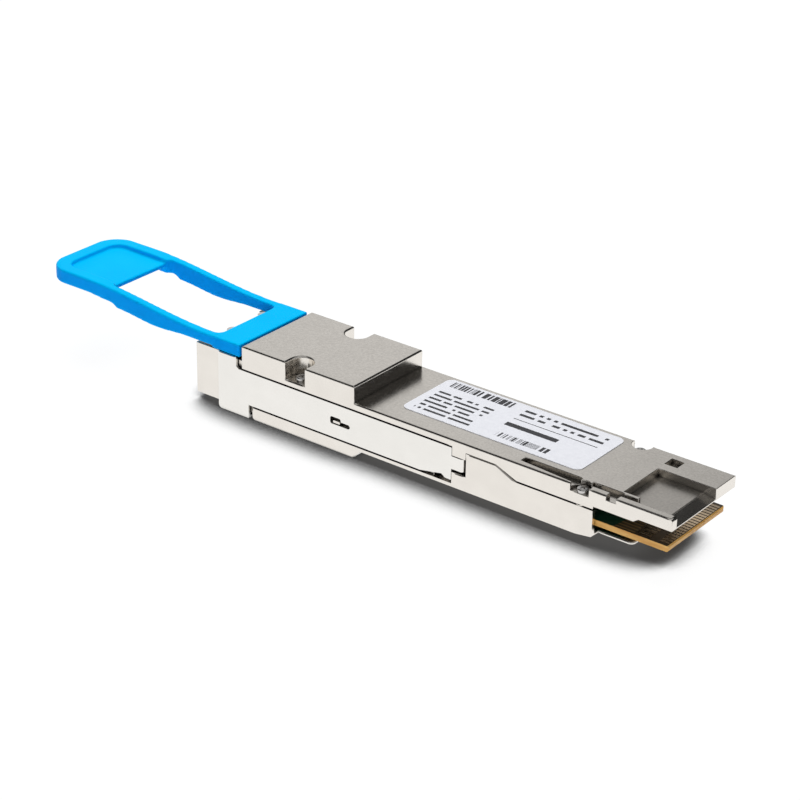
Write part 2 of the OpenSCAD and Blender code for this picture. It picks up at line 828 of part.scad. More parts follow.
// Neck and rolled tip at an arm's end, drawn from above
module arm_tip() {
    translate([arm_end_x - 0.1, half_w - slider_t])
        square([tip_neck + 0.1, slider_t]);
    translate([arm_end_x + tip_neck, half_w - tip_r])
        difference() {
            circle(tip_r);
            circle(tip_r - slider_t);
            translate([-2 * tip_r, -2 * tip_r])
                square([2 * tip_r, 4 * tip_r]);
        }
}

// Anchor tongue that rises from the bracket's top strip and comes out of the cross bar
module anchor_tongue() {
    reach_x = bar_x - tongue_reach;
    translate([strip_x, -tongue_w / 2, strip_z])
        cube([slider_t, tongue_w, tongue_z + slider_t - strip_z]);
    translate([0, 0, tongue_z])
        linear_extrude(height = slider_t) {
            translate([reach_x + tongue_w / 2, -tongue_w / 2])
                square([strip_x + slider_t - reach_x - tongue_w / 2, tongue_w]);
            translate([reach_x + tongue_w / 2, 0])
                circle(tongue_w / 2);
        }
}

module anchor_tongues() {
    both_sides()
        translate([0, tongue_y, 0])
            anchor_tongue();
}

module release_slider() {
    color(steel) {
        both_sides() {
            translate([0, half_w, 0])
                rotate([90, 0, 0])
                    linear_extrude(height = slider_t)
                        arm_outline();
            translate([0, 0, base_z + recess_floor + tip_rise])
                linear_extrude(height = tip_h)
                    arm_tip();
            translate([spring_tab_x, spring_y - spring_r, arm_z])
                cube([spring_tab_len, half_w - spring_y + spring_r - 0.1, slider_t]);
        }
        slab(bracket_x + bracket_corner, skirt_end_x, half_w - 0.1, bracket_z, bracket_z + slider_t);
        slab(strip_x, bracket_end_x, half_w - 0.1, strip_z, bracket_top_z);
        anchor_tongues();
    }
}

// Pull tab: moulded loop with an S-curved side outline, deep rails and a hollowed thumb pad
function ease(t) = t * t * (3 - 2 * t);
function blend_points(a, b, steps) =
    [for (i = [0 : steps - 1]) [a.x + (b.x - a.x) * i / steps, a.y + (b.y - a.y) * ease(i / steps)]];
function smooth_line(keys, steps) = concat(
    [for (k = [0 : len(keys) - 2])
        each blend_points(keys[k], keys[k + 1], keys[k].y == keys[k + 1].y ? 1 : steps)],
    [keys[len(keys) - 1]]
);

curve_end_x = pad_x - 4.9;
tab_top_keys = [
    [bar_end_x, tab_top_z],
    [bar_x - 1.7, tab_top_z],
    [curve_end_x, pad_top_z],
    [tab_x, pad_top_z]
];
rail_low_z = tab_top_z - rail_h;
belly_drop = 0.35;
tab_low_keys = [
    [tab_x, pad_top_z - pad_t],
    [curve_end_x, pad_top_z - pad_t],
    [pad_x + 1.2, pad_top_z - pad_t - 0.4],
    [pad_x + 2.8, tab_top_z - 1.5],
    [pad_x + 12.1, rail_low_z - belly_drop],
    [bar_x - 6.5, rail_low_z],
    [bar_x - 1, rail_low_z],
    [bar_x, bracket_top_z],
    [bar_end_x, bracket_top_z]
];

module tab_side() {
    polygon(concat(
        smooth_line(tab_top_keys, 16),
        smooth_line(tab_low_keys, 7)
    ));
}

module tab_plan() {
    difference() {
        union() {
            round_rect(tab_x, tab_x + 4 * tab_corner, -tab_half, tab_half, tab_corner);
            translate([tab_x + 2 * tab_corner, -tab_half])
                square([bar_end_x - tab_x - 2 * tab_corner, 2 * tab_half]);
        }
        round_rect(pad_x, bar_x, rail_w - tab_half, tab_half - rail_w, window_corner);
    }
}

// Hollows above and below the thumb pad's web, both open towards the window
module thumb_hollows() {
    end_z = pad_top_z - thumb_d;
    window_z = end_z - 0.25;
    side = tab_half - rim_side;
    intersection() {
        across(half_w) {
            polygon([[tab_x, end_z], [pad_x + 1, window_z], [pad_x + 1, far], [tab_x, far]]);
            polygon([[tab_x, end_z - web_t], [pad_x + 1, window_z - web_t], [pad_x + 1, 0], [tab_x, 0]]);
        }
        linear_extrude(height = far)
            round_rect(tab_x + rim_end, pad_x + 6, -side, side, 2.4);
    }
}

module pull_tab() {
    color(blue)
    difference() {
        intersection() {
            across(half_w)
                tab_side();
            linear_extrude(height = far)
                tab_plan();
        }
        thumb_hollows();
        anchor_tongues();
    }
}

// Return springs: open coils between the pocket's front wall and the slider's tab
spring_steps = 8 * spring_turns;
wire_sides = 6;
coil_len = spring_len - wire_d - 0.1;
function coil_point(i) = [
    spring_start_x + 0.05 + wire_d / 2 + coil_len * i / spring_steps,
    spring_y + spring_r * cos(360 * i * spring_turns / spring_steps),
    spring_z + spring_r * sin(360 * i * spring_turns / spring_steps)
];
function coil_way(i) =
    let (turn = 360 * i * spring_turns / spring_steps,
        step = coil_len / (2 * PI * spring_turns))
    [step, -spring_r * sin(turn), spring_r * cos(turn)] / norm([step, spring_r]);
function coil_ring(i) =
    let (turn = 360 * i * spring_turns / spring_steps,
        out = [0, cos(turn), sin(turn)],
        side = cross(coil_way(i), out))
    [for (k = [0 : wire_sides - 1])
        coil_point(i) + wire_d / 2 * (cos(360 * k / wire_sides) * out + sin(360 * k / wire_sides) * side)];
coil_gap = coil_len / spring_turns - wire_d;
echo(least_gap_between_spring_turns = coil_gap);

module spring_coil() {
    points = [for (i = [0 : spring_steps]) each coil_ring(i)];
    last = spring_steps * wire_sides;
    walls = [for (i = [0 : spring_steps - 1], k = [0 : wire_sides - 1])
        let (a = i * wire_sides + k, b = i * wire_sides + (k + 1) % wire_sides)
        each [[a, a + wire_sides, b], [b, a + wire_sides, b + wire_sides]]];
    front = [for (k = [1 : wire_sides - 2]) [0, k, k + 1]];
    back = [for (k = [1 : wire_sides - 2]) [last, last + k + 1, last + k]];
    polyhedron(points = points, faces = concat(walls, front, back));
}

module return_spring_right() {
    color(steel)
        spring_coil();
}

module return_spring_left() {
    color(steel)
        mirror([0, 1, 0])
            spring_coil();
}

// Cover screws: pan heads with a cross recess, two in front and two at the rear
module cover_screw(seat_z) {
    difference() {
        union() {
            translate([0, 0, seat_z - screw_len])
                cylinder(r = screw_r, h = screw_len + 0.1);
            translate([0, 0, seat_z])
                cylinder(r = screw_head_r, h = screw_head_h);
        }
        for (turn = [0, 90])
            rotate(turn)
                translate([-screw_head_r * 0.6, -0.12, seat_z + screw_head_h / 2])
                    cube([screw_head_r * 1.2, 0.24, 1]);
    }
}

module cover_screws() {
    color(steel)
    at_posts() {
        cover_screw(front_screw_z);
        cover_screw(rear_screw_z);
    }
}

// Bare sticker on the lid
module product_label() {
    color("white")
    translate([0, 0, top_z])
        linear_extrude(height = label_t)
            round_rect(rear_x - label_x - label_len, rear_x - label_x, label_y - label_w / 2,
                label_y + label_w / 2, label_corner);
}

// Port insert: two duplex ports with a latch slot in each roof and a rear wall for the sleeves
module port_insert() {
    color("dimgray")
    difference() {
        slab(insert_x, gasket_x, nose_inner_half - fit, port_floor_z + fit, port_roof_z - fit);
        for (side = [-1, 1]) {
            translate([insert_x - 1, side * port_y - port_w / 2, axis_z - port_h / 2])
                cube([bulkhead_x - insert_x + 1, port_w, port_h]);
            translate([insert_x + 1.6, side * port_y - 1.5, axis_z])
                cube([2, 3, far]);
        }
        at_ferrules()
            cylinder(r = sleeve_r + fit, h = far, center = true);
    }
}

module ferrule_sleeves() {
    color("ivory")
    at_ferrules()
        difference() {
            union() {
                translate([0, 0, sleeve_x])
                    cylinder(r = sleeve_r, h = optics_x - sleeve_x);
                translate([0, 0, flange_x])
                    cylinder(r = flange_r, h = flange_t);
            }
            translate([0, 0, sleeve_x - 1])
                cylinder(r = ferrule_bore_r, h = ferrule_bore_len + 1);
        }
}

module bulkhead_gasket() {
    color("gray")
    difference() {
        slab(gasket_x, flange_x, nose_inner_half - 3 * fit, port_floor_z + 3 * fit, port_roof_z - 3 * fit);
        at_ferrules()
            cylinder(r = sleeve_r + fit, h = far, center = true);
    }
}

// Clamp: a comb that drops over the sleeves behind their flanges
module sleeve_clamp() {
    color(steel)
    difference() {
        slab(block_x, block_x + clamp_t, front_half - 2 * fit, axis_z - clamp_drop, front_split_z - fit);
        for (y = ferrule_y)
            translate([block_x - far / 2, y - sleeve_r - fit, axis_z - far])
                cube([far, 2 * (sleeve_r + fit), far]);
        at_ferrules()
            cylinder(r = sleeve_r + fit, h = far, center = true);
    }
}

// Optical sub-assembly: a metal box with a stepped cover and a collar round the sleeve's end
module optics_box(y) {
    cover = 0.25;
    translate([optics_x, y - optics_w / 2, optics_z])
        cube([optics_len, optics_w, optics_h - cover]);
    translate([optics_x + cover, y - optics_w / 2 + cover, optics_z])
        cube([optics_len - 2 * cover, optics_w - 2 * cover, optics_h]);
}

module transmitter_left() {
    color("goldenrod")
        optics_box(ferrule_y[0]);
}

module receiver_left() {
    color("silver")
        optics_box(ferrule_y[1]);
}

module receiver_right() {
    color("silver")
        optics_box(ferrule_y[2]);
}

module transmitter_right() {
    color("goldenrod")
        optics_box(ferrule_y[3]);
}

module optics_thermal_pad() {
    color("lightpink")
        slab(optics_x + 0.6, optics_end_x - 0.6, front_half - 0.2, optics_top_z, optics_top_z + optics_pad_t);
}

// Flexible circuits: thin strips from the boxes' rear faces down to the board
module flex_circuits() {
    low = card_top_z;
    high = low + flex_rise;
    bend_x = optics_end_x + flex_out;
    foot_x = bend_x + flex_slope;
    end_x = foot_x + flex_land;
    color("orange")
    for (y = ferrule_y)
        translate([0, y, 0])
            across(flex_w / 2)
                polygon([
                    [optics_end_x, high],
                    [bend_x, high],
                    [foot_x, low],
                    [end_x, low],
                    [end_x, low + flex_t],
                    [foot_x + flex_t / 2, low + flex_t],
                    [bend_x + flex_t / 2, high + flex_t],
                    [optics_end_x, high + flex_t]
                ]);
}

// Main board: the card whose rear end carries the edge contacts
module board_plan() {
    neck_half = half_w - recess_d - recess_wall - card_room;
    difference() {
        union() {
            translate([card_front_x, card_room - front_half])
                square([zone_x - 1 - card_front_x, 2 * (front_half - card_room)]);
            round_rect(zone_x + card_room, card_end_x, -card_half, card_half, card_corner);
            translate([zone_x - 2, -neck_half])
                square([4, 2 * neck_half]);
        }
        for (side = [-1, 1]) {
            translate([recess_x - 1 - card_room, side * half_w - (side < 0 ? 0 : half_w - neck_half)])
                square([zone_x - recess_x + 1 + 2 * card_room, half_w - neck_half]);
            translate([front_post_x, side * front_post_y])
                circle(front_post_r + card_room);
            translate([rear_post_x, side * rear_post_y])
                circle(post_r + card_room);
        }
    }
}

module board_side() {
    polygon([
        [card_front_x, card_z],
        [card_end_x - card_bevel, card_z],
        [card_end_x, card_z + card_bevel],
        [card_end_x, card_top_z - card_bevel],
        [card_end_x - card_bevel, card_top_z],
        [card_front_x, card_top_z]
    ]);
}

module main_board() {
    color([0.45, 0.33, 0.16])
    intersection() {
        across(half_w)
            board_side();
        linear_extrude(height = far)
            board_plan();
    }
}

module contact_rows(z) {
    first_x = card_end_x - card_bevel - 0.1 - contact_len;
    second_x = first_x - contact_row_gap - second_contact_len;
    for (i = [0 : contact_count - 1])
        translate([0, (i - (contact_count - 1) / 2) * contact_pitch - contact_w / 2, z]) {
            translate([first_x, 0, 0])
                cube([contact_len, contact_w, contact_t]);
            translate([second_x, 0, 0])
                cube([second_contact_len, contact_w, contact_t]);
        }
}

module edge_contacts_top() {
    color("gold")
        contact_rows(card_top_z);
}

module edge_contacts_bottom() {
    color("gold")
        contact_rows(card_z - contact_t);
}

// Chips and small parts on the board's upper face
module chip(x, y, len, w, h) {
    translate([x - len / 2, y - w / 2, card_top_z])
        cube([len, w, h]);
}

module signal_processor() {
    color("darkslategray") {
        chip(processor_x, 0, processor_w, processor_w, processor_h / 2);
        chip(processor_x, 0, processor_w - 2.4, processor_w - 2.4, processor_h);
    }
}

module processor_thermal_pad() {
    side = processor_w - 2.4;
    color("lightpink")
        slab(processor_x - side / 2, processor_x + side / 2, side / 2, processor_pad_z, pedestal_z);
}

controller_x = processor_x + processor_w / 2 + controller_w / 2 + 9;

module controller_chip() {
    color([0.12, 0.12, 0.13])
        chip(controller_x, 0, controller_w, controller_w, controller_h);
}

module laser_drivers() {
    color([0.12, 0.12, 0.13])
    for (side = [-1, 1])
        chip(card_front_x + 6.5, side * port_y * 0.7, 3, 4, 0.8);
}

module clock_oscillator() {
    color("silver")
        chip(processor_x - processor_w / 2 - 2.4, 0, 2.5, 3.2, 0.9);
}

module power_inductors() {
    color([0.25, 0.25, 0.27])
    for (side = [-1, 1])
        chip(controller_x + controller_w / 2 + inductor_w / 2 + 1.2, side * (inductor_w / 2 + 0.8),
            inductor_w, inductor_w, inductor_h);
}

module board_capacitors() {
    color("tan")
    for (i = [0 : 5], side = [-1, 1])
        chip(processor_x + (i - 2.5) * capacitor_pitch, side * (processor_w / 2 + 0.3 + capacitor_w),
            capacitor_len, capacitor_w, capacitor_w);
}

lower_housing();
upper_housing();
release_slider();
pull_tab();
return_spring_left();
return_spring_right();
cover_screws();
product_label();
port_insert();
ferrule_sleeves();
bulkhead_gasket();
sleeve_clamp();
transmitter_left();
transmitter_right();
receiver_left();
receiver_right();
optics_thermal_pad();
flex_circuits();
main_board();
edge_contacts_top();
edge_contacts_bottom();
signal_processor();
processor_thermal_pad();
controller_chip();
laser_drivers();
clock_oscillator();
power_inductors();
board_capacitors();
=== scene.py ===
import math
import bmesh
import bpy
from mathutils import Matrix, Vector
from mathutils.bvhtree import BVHTree
from mathutils.geometry import intersect_line_line_2d
from mathutils.kdtree import KDTree


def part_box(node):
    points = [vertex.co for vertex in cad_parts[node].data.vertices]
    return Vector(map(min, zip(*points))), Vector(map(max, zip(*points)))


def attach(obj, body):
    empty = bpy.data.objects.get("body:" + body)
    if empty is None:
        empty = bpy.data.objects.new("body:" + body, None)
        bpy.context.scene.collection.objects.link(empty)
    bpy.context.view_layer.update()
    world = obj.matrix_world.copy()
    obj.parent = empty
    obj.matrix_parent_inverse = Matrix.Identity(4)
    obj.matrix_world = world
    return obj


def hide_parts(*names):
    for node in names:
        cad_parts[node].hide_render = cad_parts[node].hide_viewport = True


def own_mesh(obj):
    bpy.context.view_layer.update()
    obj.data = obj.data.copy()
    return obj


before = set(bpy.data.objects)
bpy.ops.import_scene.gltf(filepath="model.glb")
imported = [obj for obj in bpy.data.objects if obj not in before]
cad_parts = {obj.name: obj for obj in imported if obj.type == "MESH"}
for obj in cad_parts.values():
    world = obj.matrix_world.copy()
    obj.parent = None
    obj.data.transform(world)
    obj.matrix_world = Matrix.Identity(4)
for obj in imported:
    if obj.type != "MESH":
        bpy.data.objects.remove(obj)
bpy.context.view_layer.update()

# Lower housing: zinc tray with the nose, belly and arm channels, the base of the whole module.
# Die-cast, tumbled so that every outer edge is slightly round, then plated with satin nickel.
# The parting line and the ledge under the arms are cut a little deeper than in the solid.
lower_edge = 0.0003
seam_share = 0.3
seam_gap = 0.0002
top_share = 0.8
facing_up = 0.6
lies_flat = 0.9
same_place = 0.00001
sliver = 1e-12


def start_finish(name):
    """A new finish, its nodes and its shader."""
    finish = bpy.data.materials.new(name)
    finish.use_nodes = True
    tree = finish.node_tree
    return finish, tree, tree.nodes["Principled BSDF"]


def place_noise(tree, scale, detail=2.0, stretch=(1, 1, 1)):
    """A fine irregular pattern that is fixed to the piece."""
    spot = tree.nodes.new("ShaderNodeTexCoord")
    turn = tree.nodes.new("ShaderNodeMapping")
    turn.inputs["Scale"].default_value = stretch
    noise = tree.nodes.new("ShaderNodeTexNoise")
    noise.inputs["Scale"].default_value = scale
    noise.inputs["Detail"].default_value = detail
    tree.links.new(spot.outputs["Object"], turn.inputs["Vector"])
    tree.links.new(turn.outputs["Vector"], noise.inputs["Vector"])
    return noise.outputs["Fac"]


def shade_from(tree, value, dark, light, target=None):
    """A colour that runs from dark to light with a value."""
    ramp = tree.nodes.new("ShaderNodeValToRGB")
    ramp.color_ramp.elements[0].position = 0.3
    ramp.color_ramp.elements[0].color = (*dark, 1)
    ramp.color_ramp.elements[1].position = 0.7
    ramp.color_ramp.elements[1].color = (*light, 1)
    tree.links.new(value, ramp.inputs["Fac"])
    if target:
        tree.links.new(ramp.outputs["Color"], target)
    return ramp.outputs["Color"]


def spread_from(tree, value, low, high, target=None):
    """A number that runs from low to high with a value."""
    spread = tree.nodes.new("ShaderNodeMapRange")
    spread.inputs["From Min"].default_value = 0.3
    spread.inputs["From Max"].default_value = 0.7
    spread.inputs["To Min"].default_value = low
    spread.inputs["To Max"].default_value = high
    tree.links.new(value, spread.inputs["Value"])
    if target:
        tree.links.new(spread.outputs["Result"], target)
    return spread.outputs["Result"]


def relief_from(tree, value, height, shader, strength=1.0):
    """Raise a finish by a value, as much as height at most."""
    relief = tree.nodes.new("ShaderNodeBump")
    relief.inputs["Strength"].default_value = strength
    relief.inputs["Distance"].default_value = height
    tree.links.new(value, relief.inputs["Height"])
    tree.links.new(relief.outputs["Normal"], shader.inputs["Normal"])


def reckon(tree, task, first, second=None):
    """One step of arithmetic between numbers and sockets."""
    step = tree.nodes.new("ShaderNodeMath")
    step.operation = task
    for socket, value in zip(step.inputs, (first, second)):
        if value is None:
            continue
        if isinstance(value, (int, float)):
            socket.default_value = value
        else:
            tree.links.new(value, socket)
    return step.outputs["Value"]


def split_place(tree):
    """A point's three coordinates on the piece."""
    spot = tree.nodes.new("ShaderNodeTexCoord")
    parts = tree.nodes.new("ShaderNodeSeparateXYZ")
    tree.links.new(spot.outputs["Object"], parts.inputs["Vector"])
    return parts.outputs["X"], parts.outputs["Y"], parts.outputs["Z"]


def between(tree, value, low, high):
    """1 where a value lies between two limits, and 0 elsewhere."""
    above = reckon(tree, "GREATER_THAN", value, low)
    below = reckon(tree, "LESS_THAN", value, high)
    return reckon(tree, "MULTIPLY", above, below)


def upward_part(tree, normal="Normal"):
    """How far a surface faces up, from -1 to 1."""
    facing = tree.nodes.new("ShaderNodeNewGeometry")
    tilt = tree.nodes.new("ShaderNodeSeparateXYZ")
    tree.links.new(facing.outputs[normal], tilt.inputs["Vector"])
    return tilt.outputs["Z"]


def lay_over(tree, share, under, over):
    """One colour over another, by a share from 0 to 1."""
    mix = tree.nodes.new("ShaderNodeMix")
    mix.data_type = "RGBA"
    tree.links.new(share, mix.inputs["Factor"])
    for socket, colour in ((mix.inputs["A"], under), (mix.inputs["B"], over)):
        if isinstance(colour, tuple):
            socket.default_value = (*colour, 1)
        else:
            tree.links.new(colour, socket)
    return mix.outputs["Result"]


def merged_copy(node):
    """A copy of a solid's mesh, with the corners of its triangles joined."""
    form = bmesh.new()
    form.from_mesh(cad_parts[node].data)
    bmesh.ops.remove_doubles(form, verts=form.verts, dist=1e-6)
    return form


def show(form, name):
    """A new object at the origin, whose mesh is this form."""
    mesh = bpy.data.meshes.new(name)
    form.to_mesh(mesh)
    form.free()
    piece = bpy.data.objects.new(name, mesh)
    bpy.context.scene.collection.objects.link(piece)
    return piece


def crossings(shaped):
    """Points of a mesh where a flat face's outline crosses itself."""
    shaped.calc_loop_triangles()
    faces = shaped.polygons
    overlapping = {
        t.polygon_index for t in shaped.loop_triangles
        if t.area > sliver and t.normal.dot(faces[t.polygon_index].normal) < 0
    }
    points = []
    for face in (faces[i] for i in overlapping):
        turn = face.normal.to_track_quat("Z", "Y").inverted()
        ring = [shaped.vertices[i].co for i in face.vertices]
        flat = [(turn @ point).to_2d() for point in ring]
        count = len(ring)
        found = []
        for i in range(count):
            for j in range(i + 2, count - (i == 0)):
                ends = flat[i], flat[(i + 1) % count], flat[j], flat[(j + 1) % count]
                if intersect_line_line_2d(*ends):
                    found += [ring[i], ring[(i + 1) % count], ring[j], ring[(j + 1) % count]]
        points += found or ring
    return points


def torn_points(shaped, solid, width):
    """Points of a rounded mesh that left the solid's surface, or whose faces turned over."""
    near, turned_over = 0.45 * width, -0.1
    far_off = {v.index for v in shaped.vertices if solid.find_nearest(v.co)[3] > near}
    torn = [shaped.vertices[e.vertices[0]].co for e in shaped.edges if e.vertices[1] in far_off]
    torn += [shaped.vertices[e.vertices[1]].co for e in shaped.edges if e.vertices[0] in far_off]
    for face in shaped.polygons:
        if face.area > sliver and face.normal.dot(solid.find_nearest(face.center)[1]) < turned_over:
            torn += [shaped.vertices[i].co for i in face.vertices]
    torn += crossings(shaped)
    return [point for point in torn if solid.find_nearest(point)[3] < near]


def soft_edged(form, name, width, steps=2, share=None, least_bend=35):
    """A piece from a form whose outer edges are rounded, apart from corners where that would tear.

    share gives the part of the width that an edge takes, from the edge's middle and steepest face."""
    layer = form.edges.layers.float.new("bevel_weight_edge")
    bend, flat_bend, smooth_bend = (math.radians(a) for a in (least_bend, 0.4, 9.5))
    end_share, short_share, long_share = 2.5, 2.2, 8
    straight_on, attempts = -0.75, 14
    bmesh.ops.dissolve_limit(form, angle_limit=flat_bend, verts=form.verts, edges=form.edges)
    outer = [e for e in form.edges if len(e.link_faces) == 2 and e.is_convex]
    sharp = [e for e in outer if e.calc_face_angle(0) > bend]
    all_sharp = set(sharp)

    def runs_on(edge, point):
        """Whether another sharp edge carries on where this one ends."""
        way = (edge.other_vert(point).co - point.co).normalized()
        return any(
            way.dot((other.other_vert(point).co - point.co).normalized()) < straight_on
            for other in point.link_edges if other is not edge and other in all_sharp
        )

    for edge in sharp:
        middle = (edge.verts[0].co + edge.verts[1].co) / 2
        weight = share(middle, max(face.normal.z for face in edge.link_faces)) if share else 1.0
        if edge.calc_length() > short_share * weight * width or all(runs_on(edge, p) for p in edge.verts):
            edge[layer] = weight
    for edge in [e for e in sharp if e[layer] > 0 and e.calc_length() > long_share * width]:
        start, end = edge.verts
        length = edge.calc_length()
        first_cut = bmesh.utils.edge_split(edge, start, end_share * width / length)[1]
        far_part = next(e for e in first_cut.link_edges if end in e.verts)
        bmesh.utils.edge_split(far_part, end, end_share * width / far_part.calc_length())
    solid = BVHTree.FromBMesh(form)
    for face in form.faces:
        face.smooth = True
    piece = show(form, name)
    mesh = piece.data
    mesh.set_sharp_from_angle(angle=smooth_bend)
    rounding = piece.modifiers.new("rounded_edges", "BEVEL")
    rounding.limit_method = "WEIGHT"
    rounding.width = width
    rounding.segments = steps
    rounding.profile = 0.5
    rounding.use_clamp_overlap = False
    corners = KDTree(len(mesh.vertices))
    for corner in mesh.vertices:
        corners.insert(corner.co, corner.index)
    corners.balance()
    weights = mesh.attributes["bevel_weight_edge"].data
    for attempt in range(attempts):
        shaped = piece.evaluated_get(bpy.context.evaluated_depsgraph_get())
        bad = {corners.find(point)[1] for point in torn_points(shaped.to_mesh(), solid, width)}
        shaped.to_mesh_clear()
        if not bad:
            break
        for edge in mesh.edges:
            if bad.intersection(edge.vertices):
                weights[edge.index].value = 0.0
        mesh.update()
    evening = piece.modifiers.new("flat_faces_stay_flat", "WEIGHTED_NORMAL")
    evening.mode = "FACE_AREA"
    evening.weight = 100
    evening.keep_sharp = True
    return piece


tray_low, tray_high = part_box("lower_housing")
under_z = tray_low.z + 0.0026
rear_x = tray_high.x - 0.0005
side_y = tray_high.y - 0.0002


def tray_share(spot, upward):
    """Full roundings below and at the rear end, less along the top, and little in the seams."""
    if spot.z < under_z or spot.x > rear_x:
        return 1.0
    return top_share if upward > facing_up and abs(spot.y) > side_y else seam_share


def painted_gap_shade(tree, colour, target, reach=0.0012):
    """Painted shade: the colour is darkened where a surface is hemmed in, in gaps, seams, hollows and inner
    corners.
    """
    gap_occlusion = tree.nodes.new("ShaderNodeAmbientOcclusion")
    gap_occlusion.samples = 8
    gap_occlusion.inputs["Distance"].default_value = reach
    clear = tree.nodes.new("ShaderNodeMapRange")
    clear.interpolation_type = "SMOOTHSTEP"
    clear.inputs["From Min"].default_value = 0.12
    clear.inputs["From Max"].default_value = 0.74
    clear.inputs["To Min"].default_value = 0.05
    tree.links.new(gap_occlusion.outputs["AO"], clear.inputs["Value"])
    fade = tree.nodes.new("ShaderNodeVectorMath")
    fade.operation = "SCALE"
    tree.links.new(colour, fade.inputs["Vector"])
    tree.links.new(clear.outputs["Result"], fade.inputs["Scale"])
    tree.links.new(fade.outputs["Vector"], target)


tray_form = merged_copy("lower_housing")
wall_top_z = tray_low.z + 0.00682
ledge_z = tray_low.z + 0.00245
wall_start_x = 0.03
ledge_inner_y = 0.008
for corner in tray_form.verts:
    in_wall = abs(corner.co.z - wall_top_z) < same_place and corner.co.x > wall_start_x
    in_ledge = abs(corner.co.z - ledge_z) < same_place and abs(corner.co.y) > ledge_inner_y
    if in_wall or in_ledge:
        corner.co.z -= seam_gap
lower_casting = soft_edged(tray_form, "lower_casting", lower_edge, 3, tray_share)
satin_nickel, tree, shader = start_finish("satin_nickel")
shader.inputs["Metallic"].default_value = 1.0
grain = place_noise(tree, 2400, 2)
cloud = place_noise(tree, 300, 3)
ground = shade_from(tree, cloud, (0.82, 0.78, 0.725), (0.865, 0.825, 0.768))
blasted = shade_from(tree, grain, (0.775, 0.735, 0.68), (0.915, 0.87, 0.807))
lying = reckon(tree, "GREATER_THAN", upward_part(tree, "True Normal"), lies_flat)
# Painted shade: the nickel's colour is darkened in the gaps, seams and inner corners of the castings.
painted_gap_shade(tree, lay_over(tree, lying, ground, blasted), shader.inputs["Base Color"])
lid_top_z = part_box("product_label")[0].z
floor_low_z, floor_high_z = lid_top_z - 0.0014, lid_top_z - 0.001
z = split_place(tree)[2]
pocket_floor = reckon(tree, "MULTIPLY", lying, between(tree, z, floor_low_z, floor_high_z))
satin = spread_from(tree, cloud, 0.19, 0.24)
coarse = reckon(tree, "MULTIPLY", pocket_floor, 0.14)
tree.links.new(reckon(tree, "ADD", satin, coarse), shader.inputs["Roughness"])
relief_from(tree, grain, 0.000006, shader, 0.5)
lower_casting.data.materials.append(satin_nickel)
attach(lower_casting, "housing")
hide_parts("lower_housing")

# Port insert: dark moulded plastic block with two duplex ports, pressed into the nose.
# The mould leaves a fine matt texture and slightly round edges.
insert_edge = 0.00006
port_moulding = soft_edged(merged_copy("port_insert"), "port_moulding", insert_edge)
dark_plastic, tree, shader = start_finish("dark_moulded_plastic")
grain = place_noise(tree, 3800, 2)
shade_from(tree, grain, (0.012, 0.012, 0.013), (0.022, 0.022, 0.024), shader.inputs["Base Color"])
spread_from(tree, grain, 0.42, 0.58, shader.inputs["Roughness"])
relief_from(tree, grain, 0.000008, shader, 0.5)
port_moulding.data.materials.append(dark_plastic)
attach(port_moulding, "housing")
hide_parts("port_insert")


# Ferrule sleeves: four white zirconia tubes that line up the plug's ferrules.
# Ground and polished, held by their flanges between the gasket and the clamp.
def dress(finish, *nodes):
    """Give solids that show as they are their finish."""
    for node in nodes:
        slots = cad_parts[node].data.materials
        slots.clear()
        slots.append(finish)


zirconia, tree, shader = start_finish("ground_zirconia")
cloud = place_noise(tree, 900, 2)
shade_from(tree, cloud, (0.8, 0.78, 0.72), (0.86, 0.85, 0.8), shader.inputs["Base Color"])
spread_from(tree, cloud, 0.12, 0.22, shader.inputs["Roughness"])
shader.inputs["Coat Weight"].default_value = 0.3
dress(zirconia, "ferrule_sleeves")

# Bulkhead gasket: conductive silicone cut from sheet, squeezed behind the port insert.
# Grey with fine metal filler, so it sparkles a little.
silicone_grey, tree, shader = start_finish("filled_silicone")
filler = place_noise(tree, 7000, 1)
shade_from(tree, filler, (0.06, 0.062, 0.065), (0.13, 0.135, 0.14), shader.inputs["Base Color"])
spread_from(tree, filler, 0.55, 0.75, shader.inputs["Roughness"])
relief_from(tree, filler, 0.00001, shader, 0.4)
dress(silicone_grey, "bulkhead_gasket")

# Sleeve clamp: a comb stamped from stainless sheet that drops over the sleeves.
# Rolled sheet, with fine rolling lines across the part.
rolled_steel, tree, shader = start_finish("rolled_stainless")
shader.inputs["Metallic"].default_value = 1.0
lines = place_noise(tree, 2600, 2, stretch=(0.06, 1, 1))
shade_from(tree, lines, (0.76, 0.745, 0.725), (0.81, 0.795, 0.775), shader.inputs["Base Color"])
spread_from(tree, lines, 0.2, 0.3, shader.inputs["Roughness"])
relief_from(tree, lines, 0.000003, shader, 0.5)
dress(rolled_steel, "sleeve_clamp")

# Optical sub-assemblies: two gold-plated transmitters and two nickel-plated receivers.
# Small brazed boxes with a welded cover, set on the tray in front of the board.
plated_gold, tree, shader = start_finish("plated_gold")
shader.inputs["Metallic"].default_value = 1.0
grain = place_noise(tree, 4200, 2)
shade_from(tree, grain, (0.78, 0.56, 0.24), (0.84, 0.63, 0.3), shader.inputs["Base Color"])
spread_from(tree, grain, 0.22, 0.36, shader.inputs["Roughness"])
relief_from(tree, grain, 0.000003, shader, 0.5)
dress(plated_gold, "transmitter_left", "transmitter_right")
dress(rolled_steel, "receiver_left", "receiver_right", "clock_oscillator")

# Thermal pads: soft pink gap filler pressed between hot parts and the lid.
# Loaded silicone with a dull, slightly grainy face.
gap_filler, tree, shader = start_finish("gap_filler")
grain = place_noise(tree, 2400, 2)
shade_from(tree, grain, (0.5, 0.25, 0.29), (0.58, 0.31, 0.35), shader.inputs["Base Color"])
spread_from(tree, grain, 0.6, 0.8, shader.inputs["Roughness"])
relief_from(tree, grain, 0.00002, shader, 0.4)
dress(gap_filler, "optics_thermal_pad", "processor_thermal_pad")

